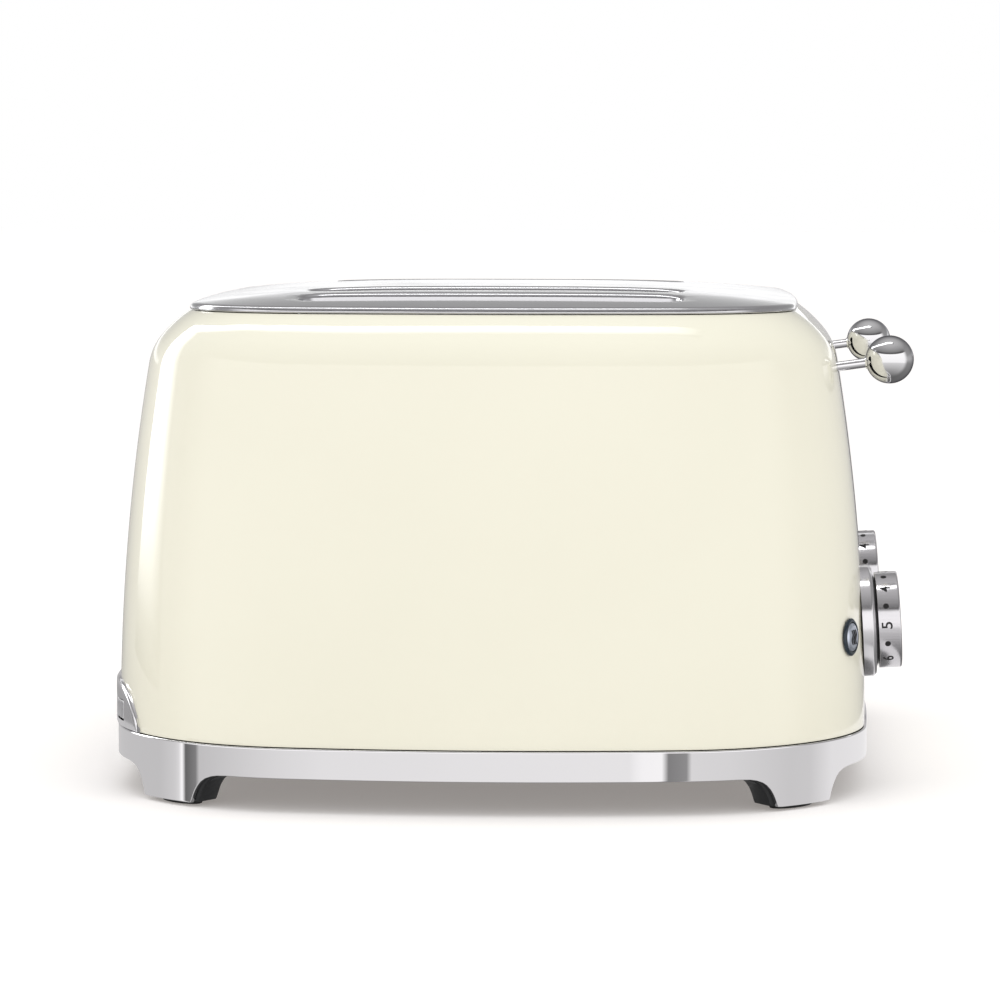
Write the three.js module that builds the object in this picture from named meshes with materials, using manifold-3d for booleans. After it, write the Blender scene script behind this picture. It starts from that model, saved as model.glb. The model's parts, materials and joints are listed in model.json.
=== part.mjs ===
// A four-slot pop-up toaster: enamelled steel body, domed steel top, polished base ring with four
// cast feet, and one lift mechanism for each pair of slots. Millimetres, +Z up. X runs along the
// slots, with the levers and dials on the +X end; Y runs across the slots; the origin is on the
// table, under the middle of the overall box. "front" names are on the -Y side, "rear" on +Y.

import * as THREE from "three";
import { mergeVertices } from "three/addons/utils/BufferGeometryUtils.js";
import Module from "manifold-3d";

const wasm = await Module();
wasm.setup();

// ---------- driving dimensions ----------

const DEG = Math.PI / 180;
const GAP = 0.3; // between pieces that touch

const BODY_DEPTH = 395; // across the slots
const CORNER_R = 88; // corners of the plan outline
const CORNER_X = 67; // corner arc centres, from the middle
const FRONT_CROWN_R = 569; // the long walls bow outwards
const END_CROWN_R = 1919; // and the end walls, less

const BASE_TOP = 26.2; // top of the base ring
const BASE_EDGE = 14; // its lower edge between the feet
const FOOT_END = 1.8; // metal of the feet stops here, above the rubber
const BASE_WALL = 2;
const SHELL_WALL = 1.4;
const WALL_CROWN_R = 900; // the walls lean in on this arc
const SHOULDER_START = 176; // height where the shoulder arc starts
const SHOULDER_R = 24;
const SHOULDER_END = 50 * DEG; // slope of the wall's normal where the arc ends
const RIM_INSET = 29.5; // outline of the top plate, in from the base outline
const SHELL_LIP_INSET = 36;
const RIM_BOTTOM = 198.2;
const RIM_TOP = 200.6;
const DOME_RISE = 5.6;
const DOME_POWER = 3;

const BANK_Y = 97.5; // each pair of slots is centred this far from the middle
const SLOT_OFFSET = 26; // slot centres, from their bank's centre
const SLOT_LENGTH = 157;
const SLOT_WIDTH = 34;
const SLOT_CORNER = 12;

const LEVER_TRAVEL = 72;
const RACK_TOP = 120; // bread rests here when the lever is up
const RACK_LENGTH = 190;
const FRAME_X = 88; // inner frame plates, from the middle
const FRAME_WALL = 1.5;
const FRAME_TOP = 190;
const FRAME_BOTTOM = 41;
const GUIDE_X = 112; // guide rod of each carriage
const GUIDE_R = 3;
const GUIDE_TOP = 184;
const BRACKET_X = 98;
const BRACKET_WALL = 2.4;

const GUARD_OFFSET = 15; // bread guards from their slot's centre, when open
const GUARD_HALF = 74;
const GUARD_BOTTOM = 50;
const GUARD_TOP = 178;
const WIRE = 1.8;

const HEATER_OFFSET = 49;
const HEATER_WALL = 1.2;

const LEVER_TILT = 8 * DEG;
const LEVER_ROD_R = 2;
const LEVER_EXIT = { x: 143.6, z: 174.4 }; // where the rod passes the wall
const BALL_R = 10;
const BALL_X = 164.7;
const LEVER_SLOT = { width: 7, bottom: 98, top: 181 };

const DIAL_TILT = 3.5 * DEG;
const DIAL_Z = 68.3;
const DIAL_R = 20;
const BEZEL_R = 23.2;
const BUTTON_Z = 66;
const BUTTON_PITCH = 41.5; // from the dial's centre, along Y
const BUTTON_R = 5.8;
const BUTTON_RING_R = 7.7;

const TRAY = { outer: 138, inner: 20, bottom: 30, top: 37.5, endX: 84, wall: 1.2 };
const REAR_TRIM_TOP = 46;
const REAR_TRIM_PROUD = 1.6; // the rear trim stands out from the body by this
const GLAND = { z: 36.5, sleeve: 5.2, flange: 7, flangeWall: 2.4, bore: 3.6 };

// ---------- materials ----------

const material = (color, roughness, metalness) =>
  new THREE.MeshStandardMaterial({ color, roughness, metalness });

const enamel = material(0xefebd8, 0.2, 0);
const chrome = material(0xd8d8dc, 0.08, 1);
const satinSteel = material(0xb4b4b8, 0.32, 1);
const galvanised = material(0x9fa3a6, 0.45, 1);
const springSteel = material(0x6f7275, 0.35, 1);
const blackPlastic = material(0x17181a, 0.55, 0);
const rubber = material(0x0f0f10, 0.85, 0);
const mica = material(0xb9a98a, 0.6, 0);
const boardGreen = material(0x1f5a3a, 0.5, 0);
const ringBlue = material(0x14202c, 0.25, 0);
const buttonSilver = material(0xdfe5ee, 0.3, 0);

// ---------- solids ----------

function solid(geometry) {
  const bare = geometry.index ? geometry.toNonIndexed() : geometry.clone();
  bare.deleteAttribute("normal");
  bare.deleteAttribute("uv");
  const merged = mergeVertices(bare, 1e-3);
  const triVerts = [];
  const index = merged.index.array;
  for (let i = 0; i < index.length; i += 3) {
    const [a, b, c] = [index[i], index[i + 1], index[i + 2]];
    if (a !== b && b !== c && a !== c) triVerts.push(a, b, c);
  }
  return new wasm.Manifold(
    new wasm.Mesh({
      numProp: 3,
      vertProperties: merged.attributes.position.array,
      triVerts: new Uint32Array(triVerts),
    }),
  );
}

function geometryOf(manifold) {
  const mesh = manifold.getMesh();
  const position = new Float32Array(mesh.numVert * 3);
  for (let i = 0; i < mesh.numVert; i++) {
    const start = i * mesh.numProp;
    position.set(mesh.vertProperties.subarray(start, start + 3), i * 3);
  }
  const geometry = new THREE.BufferGeometry();
  geometry.setAttribute("position", new THREE.BufferAttribute(position, 3));
  geometry.setIndex(new THREE.BufferAttribute(mesh.triVerts, 1));
  geometry.computeVertexNormals();
  return geometry;
}

const cut = (body, ...tools) =>
  geometryOf(tools.reduce((left, tool) => left.subtract(solid(tool)), solid(body)));

const join = (...pieces) =>
  geometryOf(pieces.map(solid).reduce((all, piece) => all.add(piece)));

const common = (a, b) => geometryOf(solid(a).intersect(solid(b)));

// A box between two corners.
function box(x0, x1, y0, y1, z0, z1) {
  const geometry = new THREE.BoxGeometry(x1 - x0, y1 - y0, z1 - z0);
  return geometry.translate((x0 + x1) / 2, (y0 + y1) / 2, (z0 + z1) / 2);
}

// A rod along +Z from z0 to z1.
function rodZ(radius, x, y, z0, z1, sides = 16) {
  const geometry = new THREE.CylinderGeometry(radius, radius, z1 - z0, sides);
  return geometry.rotateX(90 * DEG).translate(x, y, (z0 + z1) / 2);
}

// A turned piece about +X: the profile lists [x, radius] from the axis or round a closed ring.
function turnedX(profile, sides = 32) {
  const points = profile.map(([x, radius]) => new THREE.Vector2(radius, x));
  return new THREE.LatheGeometry(points, sides).rotateZ(-90 * DEG);
}

// A flat shape drawn with +X right and +Y up, as a plate from z0 to z1.
function plateZ(shape, z0, z1, curveSegments = 6) {
  const settings = { depth: z1 - z0, bevelEnabled: false, curveSegments };
  return new THREE.ExtrudeGeometry(shape, settings).translate(0, 0, z0);
}

// The same shape stood up: its X along the model's Y, its Y along Z, as a plate from x0 to x1.
const plateX = (shape, x0, x1, curveSegments) =>
  plateZ(shape, x0, x1, curveSegments).rotateX(90 * DEG).rotateZ(90 * DEG);

// The same shape stood up across Y: its X along the model's X, its Y along Z.
const plateY = (shape, y0, y1, curveSegments) =>
  plateZ(shape, -y1, -y0, curveSegments).rotateX(90 * DEG);

function polygon(...points) {
  return new THREE.Shape(points.map(([x, y]) => new THREE.Vector2(x, y)));
}

function roundedRectangle(cx, cy, width, height, r) {
  const [x0, x1] = [cx - width / 2, cx + width / 2];
  const [y0, y1] = [cy - height / 2, cy + height / 2];
  const shape = new THREE.Shape();
  shape.moveTo(x0 + r, y0);
  shape.lineTo(x1 - r, y0);
  shape.absarc(x1 - r, y0 + r, r, -90 * DEG, 0);
  shape.lineTo(x1, y1 - r);
  shape.absarc(x1 - r, y1 - r, r, 0, 90 * DEG);
  shape.lineTo(x0 + r, y1);
  shape.absarc(x0 + r, y1 - r, r, 90 * DEG, 180 * DEG);
  shape.lineTo(x0, y0 + r);
  shape.absarc(x0 + r, y0 + r, r, 180 * DEG, 270 * DEG);
  return shape;
}

// ---------- the plan outline ----------

// Four corner arcs joined smoothly by two pairs of shallow arcs, given by their normal's direction.
const frontAngle = Math.asin(CORNER_X / (FRONT_CROWN_R - CORNER_R));
const frontCentreY = BODY_DEPTH / 2 - FRONT_CROWN_R;
const cornerY = frontCentreY + (FRONT_CROWN_R - CORNER_R) * Math.cos(frontAngle);
const endAngle = Math.asin(cornerY / (END_CROWN_R - CORNER_R));
const endCentreX = CORNER_X - (END_CROWN_R - CORNER_R) * Math.cos(endAngle);
const HALF_LENGTH = endCentreX + END_CROWN_R;

// The outline's point whose outward normal points to angle, moved inwards by inset.
function planPoint(angle, inset) {
  const [c, s] = [Math.cos(angle), Math.sin(angle)];
  const slope = Math.atan2(Math.abs(s), Math.abs(c));
  let arc = { x: CORNER_X, y: cornerY, r: CORNER_R };
  if (slope < endAngle) arc = { x: endCentreX, y: 0, r: END_CROWN_R };
  else if (slope > 90 * DEG - frontAngle) arc = { x: 0, y: frontCentreY, r: FRONT_CROWN_R };
  const r = arc.r - inset;
  return [Math.sign(c) * arc.x + r * c, Math.sign(s) * arc.y + r * s];
}

const spread = (from, to, count) =>
  Array.from({ length: count }, (_, i) => from + ((to - from) * i) / count);

// Directions round the outline: close together on the corners, few on the long shallow arcs.
function planAngles(cornerSteps = 7, frontSteps = 4, endSteps = 4) {
  const quarter = 90 * DEG;
  const angles = [];
  for (let side = 0; side < 4; side++) {
    const onEnd = side % 2 === 0;
    const here = onEnd ? endAngle : frontAngle;
    const next = onEnd ? frontAngle : endAngle;
    const start = side * quarter;
    angles.push(...spread(start - here, start + here, onEnd ? endSteps : frontSteps));
    angles.push(...spread(start + here, start + quarter - next, cornerSteps));
  }
  return angles;
}

const OUTLINE = planAngles();

const outlineRing = (inset, z, angles = OUTLINE) =>
  angles.map((angle) => [...planPoint(angle, inset), z]);

const scaledRing = (ring, scale, z) => ring.map(([x, y]) => [x * scale, y * scale, z]);

// Skins a list of rings. Each ring joins the next; the ends are closed to each other, or capped.
function skin(rings, capped) {
  const n = rings[0].length;
  const points = rings.flat();
  const index = [];
  const bands = capped ? rings.length - 1 : rings.length;
  for (let k = 0; k < bands; k++) {
    const [a, b] = [k * n, ((k + 1) % rings.length) * n];
    for (let i = 0; i < n; i++) {
      const j = (i + 1) % n;
      index.push(a + i, a + j, b + j, a + i, b + j, b + i);
    }
  }
  if (capped) {
    const middle = (ring) => [0, 0, ring[0][2]];
    const last = (rings.length - 1) * n;
    points.push(middle(rings[0]), middle(rings.at(-1)));
    const [first, end] = [points.length - 2, points.length - 1];
    for (let i = 0; i < n; i++) {
      const j = (i + 1) % n;
      index.push(first, j, i, end, last + i, last + j);
    }
  }
  const geometry = new THREE.BufferGeometry();
  geometry.setAttribute("position", new THREE.Float32BufferAttribute(points.flat(), 3));
  geometry.setIndex(index);
  return geometry.toNonIndexed();
}

// A band that follows the outline between two insets and two heights.
const band = (outer, inner, z0, z1) =>
  skin([
    outlineRing(outer, z0),
    outlineRing(outer, z1),
    outlineRing(inner, z1),
    outlineRing(inner, z0),
  ]);

// ---------- body profile ----------

const wallSlope = (z) => Math.asin((z - BASE_TOP) / WALL_CROWN_R);
const wallInset = (z) => WALL_CROWN_R * (1 - Math.cos(wallSlope(z)));

// The body's section as [inset, z, slope of the normal], from the base ring to the top plate.
function bodySection(wallSteps = 4, shoulderSteps = 4) {
  const section = spread(BASE_TOP + 0.4, SHOULDER_START, wallSteps).map((z) => [
    wallInset(z),
    z,
    wallSlope(z),
  ]);
  const start = wallSlope(SHOULDER_START);
  const arcInset = wallInset(SHOULDER_START) + SHOULDER_R * Math.cos(start);
  const arcZ = SHOULDER_START - SHOULDER_R * Math.sin(start);
  const onArc = (slope) => [
    arcInset - SHOULDER_R * Math.cos(slope),
    arcZ + SHOULDER_R * Math.sin(slope),
    slope,
  ];
  section.push(...spread(start, SHOULDER_END, shoulderSteps).map(onArc), onArc(SHOULDER_END));
  const [inset, z] = section.at(-1);
  const run = RIM_INSET - inset;
  section.push([RIM_INSET, z + run / Math.tan(SHOULDER_END), SHOULDER_END]);
  return section;
}

// ---------- places on the +X end wall ----------

// A frame on the wall's outer face, its +X pointing out of the wall.
function wallFrame(angle, z, tilt) {
  const frame = new THREE.Group();
  const [x, y] = planPoint(angle, wallInset(z));
  frame.position.set(x, y, z);
  frame.rotation.set(0, -tilt, angle, "ZYX");
  return frame;
}

// Direction of the outline's normal where it passes a given Y on the +X end.
function endAngleAt(y) {
  const size = Math.abs(y);
  const corner = Math.asin(Math.min(1, (size - cornerY) / CORNER_R));
  const slope = size > (END_CROWN_R * Math.sin(endAngle)) ? corner : Math.asin(size / END_CROWN_R);
  return Math.sign(y) * slope;
}

// Takes a geometry from a frame's own axes into the model's.
function placed(geometry, frame) {
  frame.updateMatrix();
  return geometry.clone().applyMatrix4(frame.matrix);
}

const BANKS = [
  { name: "front", y: -BANK_Y },
  { name: "rear", y: BANK_Y },
];

const SIDES = [
  { name: "a", sign: -1 },
  { name: "b", sign: 1 },
];

const slotY = (bank, side) => bank.y + side.sign * SLOT_OFFSET;

const dialFrame = (bank) => {
  const frame = wallFrame(0, DIAL_Z, DIAL_TILT);
  const [x] = planPoint(endAngleAt(bank.y), wallInset(DIAL_Z));
  frame.position.set(x, bank.y, DIAL_Z);
  return frame;
};

const buttonFrame = (bank, side) => {
  const angle = endAngleAt(bank.y + side.sign * BUTTON_PITCH);
  return wallFrame(angle, BUTTON_Z, wallSlope(BUTTON_Z));
};

// ---------- the scene ----------

const toaster = new THREE.Group();

function part(name, geometry, look, parent = toaster) {
  const mesh = new THREE.Mesh(geometry, look);
  mesh.name = name;
  parent.add(mesh);
  return mesh;
}

function group(frame, parent = toaster) {
  parent.add(frame);
  return frame;
}

// ---------- housing ----------

function trayOpening(bank, extra) {
  const near = Math.sign(bank.y) * TRAY.inner;
  const far = Math.sign(bank.y) * TRAY.outer;
  const [y0, y1] = [Math.min(near, far) - extra, Math.max(near, far) + extra];
  return box(-HALF_LENGTH - 10, -100, y0, y1, TRAY.bottom - extra, TRAY.top + extra);
}

// The hole for the cord gland, through the rear trim and the shell.
const glandHole = () =>
  rodZ(GLAND.sleeve + GAP, 0, 0, -20, 20).rotateY(90 * DEG).translate(-HALF_LENGTH, 0, GLAND.z);

function outerShell() {
  const section = bodySection();
  const outside = section.map(([inset, z]) => outlineRing(inset, z));
  const lipZ = section.at(-1)[1];
  const lip = [
    outlineRing(SHELL_LIP_INSET, lipZ),
    outlineRing(SHELL_LIP_INSET, lipZ - SHELL_WALL),
  ];
  const inside = section
    .map(([inset, z, slope]) =>
      outlineRing(inset + SHELL_WALL * Math.cos(slope), z - SHELL_WALL * Math.sin(slope)),
    )
    .reverse();
  const openings = [glandHole()];
  for (const bank of BANKS) {
    const { width, bottom, top } = LEVER_SLOT;
    const slot = roundedRectangle(bank.y, (bottom + top) / 2, width, top - bottom, width / 2 - 0.1);
    openings.push(plateX(slot, 120, HALF_LENGTH + 10, 3));
    openings.push(placed(rodZ(5, 0, 0, -12, 12).rotateY(90 * DEG), dialFrame(bank)));
    openings.push(trayOpening(bank, 1));
    for (const side of SIDES) {
      const hole = rodZ(7, 0, 0, -12, 12).rotateY(90 * DEG);
      openings.push(placed(hole, buttonFrame(bank, side)));
    }
  }
  return cut(skin([...outside, ...lip, ...inside]), ...openings);
}

const slotShape = (y, extra) =>
  roundedRectangle(0, y, SLOT_LENGTH + 2 * extra, SLOT_WIDTH + 2 * extra, SLOT_CORNER + extra);

// Rings of the domed surface, lowered by drop, from the scale nearest the rim to the middle.
const domeRings = (drop, scales) =>
  scales.map((scale) => {
    const z = RIM_TOP + DOME_RISE * (1 - scale ** DOME_POWER) - drop;
    return scaledRing(outlineRing(RIM_INSET, 0), scale, z);
  });

function topPlate() {
  const wall = 1.5;
  const plate = skin(
    [
      ...domeRings(wall, [0.42, 0.75, 0.96]),
      outlineRing(RIM_INSET + 5, RIM_BOTTOM),
      outlineRing(RIM_INSET, RIM_BOTTOM),
      outlineRing(RIM_INSET, RIM_TOP),
      ...domeRings(0, [0.98, 0.88, 0.75, 0.6, 0.42, 0.2]),
    ],
    true,
  );
  const slots = [];
  const collars = [];
  const half = SLOT_LENGTH / 2 - SLOT_CORNER + 2;
  for (const bank of BANKS)
    for (const side of SIDES) {
      const y = slotY(bank, side);
      slots.push(plateZ(slotShape(y, 0), 180, 220, 3));
      const edges = [y - SLOT_WIDTH / 2 - 1.2, y + SLOT_WIDTH / 2];
      collars.push(...edges.map((edge) => box(-half, half, edge, edge + 1.2, 190, 210)));
    }
  const underside = [outlineRing(RIM_INSET, 180), ...domeRings(wall / 2, [0.98, 0.75, 0.42, 0.2])];
  const trimmed = common(join(...collars), skin(underside, true));
  return join(cut(plate, ...slots), trimmed);
}

// Arches between the feet, for a ring whose feet end wider by extra.
function arches(top, extra) {
  const reach = 260;
  const arch = (half) =>
    polygon(
      [-half + extra, -5],
      [half - extra, -5],
      [half - 1.5 - extra, top * 0.45],
      [half - 5 - extra, top * 0.8],
      [half - 13 - extra, top],
      [-half + 13 + extra, top],
      [-half + 5 + extra, top * 0.8],
      [-half + 1.5 + extra, top * 0.45],
    );
  return [plateY(arch(117.5), -reach, reach), plateX(arch(156.5), -reach, reach)];
}

function baseRing() {
  const bevel = 1.2;
  const ring = skin([
    outlineRing(-0.4, FOOT_END),
    outlineRing(-1, FOOT_END + bevel),
    outlineRing(-1, BASE_TOP - bevel / 2),
    outlineRing(-0.4, BASE_TOP),
    outlineRing(BASE_WALL - 1, BASE_TOP),
    outlineRing(BASE_WALL - 1, FOOT_END),
  ]);
  return cut(ring, ...arches(BASE_EDGE, 0));
}

function basePan() {
  const inset = BASE_WALL - 1 + GAP;
  const floorZ = [BASE_EDGE + 1, BASE_EDGE + 4];
  const outline = outlineRing(inset, floorZ[0]);
  const floor = skin([outline, outlineRing(inset, floorZ[1])], true);
  const feet = cut(band(inset, 18, 1.9, floorZ[0] + 1), ...arches(floorZ[0], 3.3));
  const pan = join(feet, floor);
  const bosses = [];
  const vents = [];
  for (const bank of BANKS) {
    bosses.push(rodZ(7, GUIDE_X, bank.y, floorZ[0] + 1, 40, 12));
    for (const offset of [-30, -10, 10, 30]) {
      const y = bank.y + offset;
      vents.push(box(-45, 45, y - 3, y + 3, 0, 25));
    }
    for (const offset of [TRAY.inner + 4, TRAY.outer - 7]) {
      const y = Math.sign(bank.y) * (offset + 1.5);
      bosses.push(box(-135, 80, y - 1.5, y + 1.5, floorZ[0] + 1, TRAY.bottom - GAP));
    }
  }
  const sockets = BANKS.map((bank) => rodZ(GUIDE_R + GAP, GUIDE_X, bank.y, floorZ[1], 60));
  return cut(join(pan, ...bosses), ...vents, ...sockets);
}

// The band across the -X end that carries the crumb trays, with shoulders that fall to the base.
function rearTrim() {
  const bottom = BASE_TOP + GAP;
  const [foot, shoulder] = [153, 116];
  const shape = new THREE.Shape();
  shape.moveTo(-foot, bottom - 5);
  shape.lineTo(foot, bottom - 5);
  shape.lineTo(foot, bottom);
  shape.bezierCurveTo(foot - 5, REAR_TRIM_TOP - 6, foot - 12, REAR_TRIM_TOP, shoulder, REAR_TRIM_TOP);
  shape.lineTo(-shoulder, REAR_TRIM_TOP);
  shape.bezierCurveTo(-foot + 12, REAR_TRIM_TOP, -foot + 5, REAR_TRIM_TOP - 6, -foot, bottom);
  const cutter = plateX(shape, -HALF_LENGTH - 20, -60, 8);
  const wrap = skin([
    outlineRing(-REAR_TRIM_PROUD, bottom),
    outlineRing(-REAR_TRIM_PROUD, REAR_TRIM_TOP - 0.8),
    outlineRing(-REAR_TRIM_PROUD / 2, REAR_TRIM_TOP + 1),
    outlineRing(-GAP, REAR_TRIM_TOP + 1),
    outlineRing(-GAP, bottom),
  ]);
  return cut(common(wrap, cutter), glandHole(), ...BANKS.map((bank) => trayOpening(bank, 0.6)));
}

function footPad(angle) {
  const [x, y] = planPoint(angle, 8.5);
  const pad = new THREE.CylinderGeometry(5.6, 5, 1.6, 16).rotateX(90 * DEG);
  return pad.scale(1, 2, 1).rotateZ(angle).translate(x, y, 0.8);
}

// A bush for the cord, with its flange outside the rear trim. Its own +X points outwards.
function cordGland() {
  const { z, sleeve, flange, flangeWall, bore } = GLAND;
  const gland = turnedX(
    [
      [-9, bore],
      [-9, sleeve],
      [0, sleeve],
      [0, flange],
      [flangeWall - 0.8, flange],
      [flangeWall, flange - 0.8],
      [flangeWall, bore],
      [-9, bore],
    ],
    20,
  );
  return gland.rotateY(180 * DEG).translate(-HALF_LENGTH - REAR_TRIM_PROUD - GAP, 0, z);
}

function innerFrame(sign) {
  const [x0, x1] = [sign * FRAME_X, sign * (FRAME_X + FRAME_WALL)];
  const span = [Math.min(x0, x1), Math.max(x0, x1)];
  const half = 150;
  const corner = 12;
  const face = polygon(
    [-half, FRAME_BOTTOM],
    [half, FRAME_BOTTOM],
    [half, FRAME_TOP - corner],
    [half - corner, FRAME_TOP],
    [-half + corner, FRAME_TOP],
    [-half, FRAME_TOP - corner],
  );
  const legs = [-1, 1].map((s) => box(...span, s * 145 - 5, s * 145 + 5, 18.4, FRAME_BOTTOM + 1));
  const middleLeg = box(...span, -8, 8, 18.4, FRAME_BOTTOM + 1);
  const slots = [];
  for (const bank of BANKS)
    for (const side of SIDES) {
      const y = slotY(bank, side);
      slots.push(box(span[0] - 5, span[1] + 5, y - 3, y + 3, 0, RACK_TOP + 4));
    }
  const tab = (bank) => box(FRAME_X + 0.5, 119, bank.y - 9, bank.y + 9, GUIDE_TOP, GUIDE_TOP + 2);
  const tabs = sign > 0 ? BANKS.map(tab) : [];
  return cut(join(plateX(face, ...span), ...legs, middleLeg, ...tabs), ...slots);
}

function heaterBoard(y) {
  const half = HEATER_WALL / 2;
  const reach = FRAME_X - GAP;
  return box(-reach, reach, y - half, y + half, 50, 176);
}

function returnSpring(bank) {
  const [bottom, top, turns, coilR, wireR] = [40.4, 157.5, 10, 5.2, 0.6];
  class Helix extends THREE.Curve {
    getPoint(t, target = new THREE.Vector3()) {
      const a = t * turns * 2 * Math.PI;
      const z = bottom + wireR + t * (top - bottom - 2 * wireR);
      return target.set(GUIDE_X + coilR * Math.cos(a), bank.y + coilR * Math.sin(a), z);
    }
  }
  const wire = new THREE.Shape();
  wire.absellipse(0, 0, wireR, wireR, 0, 2 * Math.PI);
  const settings = { extrudePath: new Helix(), steps: turns * 8, curveSegments: 2 };
  return new THREE.ExtrudeGeometry(wire, settings);
}

function electromagnet(bank) {
  const y = bank.y + 23;
  const yoke = box(103, 121, y - 10, y + 13, 50, 54);
  const core = rodZ(3.5, 112, y, 53, 81.6, 12);
  const winding = rodZ(8, 112, y, 54.5, 79);
  const foot = box(FRAME_X + FRAME_WALL + GAP, 104, y + 8, y + 13, 50, 54);
  return join(yoke, core, winding, foot);
}

function housing() {
  part("outer_shell", outerShell(), enamel);
  part("top_plate", topPlate(), satinSteel);
  part("base_ring", baseRing(), chrome);
  part("base_pan", basePan(), blackPlastic);
  part("rear_trim", rearTrim(), chrome);
  const corners = { front_right: -45, rear_right: 45, rear_left: 135, front_left: -135 };
  for (const [name, angle] of Object.entries(corners))
    part(`foot_pad_${name}`, footPad(angle * DEG), rubber);
  part("frame_plate_right", innerFrame(1), galvanised);
  part("frame_plate_left", innerFrame(-1), galvanised);
  for (const bank of BANKS) {
    part(`heater_board_${bank.name}_a`, heaterBoard(bank.y - HEATER_OFFSET), mica);
    part(`heater_board_${bank.name}_middle`, heaterBoard(bank.y), mica);
    part(`heater_board_${bank.name}_b`, heaterBoard(bank.y + HEATER_OFFSET), mica);
    const rod = rodZ(GUIDE_R, GUIDE_X, bank.y, BASE_EDGE + 4 + GAP, GUIDE_TOP - GAP, 12);
    part(`guide_rod_${bank.name}`, rod, chrome);
    part(`return_spring_${bank.name}`, returnSpring(bank), springSteel);
    part(`electromagnet_${bank.name}`, electromagnet(bank), springSteel);
  }
}

// ---------- lift carriages ----------

function carriageFrame(bank) {
  const x = [BRACKET_X, BRACKET_X + BRACKET_WALL];
  const arm = RACK_TOP - 10;
  const spine = box(...x, bank.y - 10, bank.y + 10, arm, 182);
  const crossbar = box(...x, bank.y - 29, bank.y + 29, arm, RACK_TOP);
  const lug = box(...x, bank.y + 9, bank.y + 33, 150, 160);
  const block = box(x[0] + 1, 120, bank.y - 9, bank.y + 9, 158, GUIDE_TOP - 0.5);
  const racks = SIDES.map((side) => breadRack(slotY(bank, side)));
  const bore = rodZ(GUIDE_R + GAP, GUIDE_X, bank.y, 150, 190, 12);
  return cut(join(spine, crossbar, lug, block, ...racks), bore);
}

// One bread support: a thin rail through the inner frame with a ledge along its top.
function breadRack(y) {
  const end = BRACKET_X + 1;
  const rail = box(end - RACK_LENGTH, end, y - 1.2, y + 1.2, RACK_TOP - 10, RACK_TOP - 0.5);
  const ledge = box(-66, 66, y - 5.5, y + 5.5, RACK_TOP - 1.6, RACK_TOP);
  return join(rail, ledge);
}

function armature(bank) {
  return box(BRACKET_X + BRACKET_WALL + GAP, 122, bank.y + 12, bank.y + 34, 154.5, 157);
}

function carriages() {
  for (const bank of BANKS) {
    part(`carriage_${bank.name}`, carriageFrame(bank), galvanised);
    part(`armature_plate_${bank.name}`, armature(bank), springSteel);
    const lever = new THREE.Group();
    lever.position.set(LEVER_EXIT.x, bank.y, LEVER_EXIT.z);
    lever.rotation.y = -LEVER_TILT;
    group(lever);
    const rise = Math.cos(LEVER_TILT);
    const rodStart = (120 - LEVER_EXIT.x) / rise + 2 * GAP;
    const ballX = (BALL_X - LEVER_EXIT.x) / rise;
    const boreEnd = ballX - 4;
    part(`lever_rod_${bank.name}`, leverRod(rodStart, boreEnd), chrome, lever);
    part(`lever_ball_${bank.name}`, leverBall(ballX, boreEnd), chrome, lever);
  }
}

const leverRod = (start, end) =>
  turnedX([[start, 0], [start, LEVER_ROD_R], [end, LEVER_ROD_R], [end, 0]], 12);

// A ball with a blind bore for the rod, entered from -X.
function leverBall(centre, boreEnd) {
  const bore = LEVER_ROD_R + GAP;
  const start = Math.PI - Math.asin(bore / BALL_R);
  const steps = 9;
  const profile = [[boreEnd + GAP, 0], [boreEnd + GAP, bore]];
  for (let k = 0; k <= steps; k++) {
    const a = start * (1 - k / steps);
    profile.push([centre + BALL_R * Math.cos(a), k === steps ? 0 : BALL_R * Math.sin(a)]);
  }
  return turnedX(profile, 18);
}

// ---------- bread guards ----------

// A wire grid beside one slot; both of a slot's grids close on the bread as its lever goes down.
function breadGuard(y) {
  const half = WIRE / 2;
  const wire = (x0, x1, z0, z1) => box(x0, x1, y - half, y + half, z0, z1);
  const rails = [
    wire(-GUARD_HALF, GUARD_HALF, GUARD_BOTTOM, GUARD_BOTTOM + WIRE),
    wire(-GUARD_HALF, GUARD_HALF, GUARD_TOP - WIRE, GUARD_TOP),
  ];
  const count = 7;
  const pitch = (2 * GUARD_HALF - WIRE) / (count - 1);
  const uprights = Array.from({ length: count }, (_, i) => {
    const x = -GUARD_HALF + i * pitch;
    return wire(x, x + WIRE, GUARD_BOTTOM + half, GUARD_TOP - half);
  });
  return join(...rails, ...uprights);
}

function guards() {
  for (const bank of BANKS)
    for (const side of SIDES)
      for (const edge of [{ name: "near", sign: -1 }, { name: "far", sign: 1 }]) {
        const y = slotY(bank, side) + edge.sign * GUARD_OFFSET;
        part(`bread_guard_${bank.name}_${side.name}_${edge.name}`, breadGuard(y), galvanised);
      }
}

// ---------- dials and buttons ----------

const BEZEL_FRONT = 4.6;
const DIAL_BACK = 5.2;
const DIAL_FACE = 15;

// A ring whose back is cut to the wall's own curve, so that it sits flush all round.
function bezel(frame) {
  const ring = turnedX(
    [
      [-4, 6],
      [-4, BEZEL_R],
      [3.2, BEZEL_R],
      [4.2, BEZEL_R - 0.5],
      [BEZEL_FRONT, BEZEL_R - 1.2],
      [BEZEL_FRONT, DIAL_R - 1],
      [2.6, DIAL_R - 1],
      [2.6, 6],
      [-4, 6],
    ],
    28,
  );
  const body = bodySection(8).slice(0, 7);
  const outside = skin(body.map(([inset, z]) => outlineRing(inset - GAP, z)), true);
  const back = frame.clone();
  back.updateMatrix();
  return cut(ring, outside.applyMatrix4(back.matrix.invert()));
}

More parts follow.
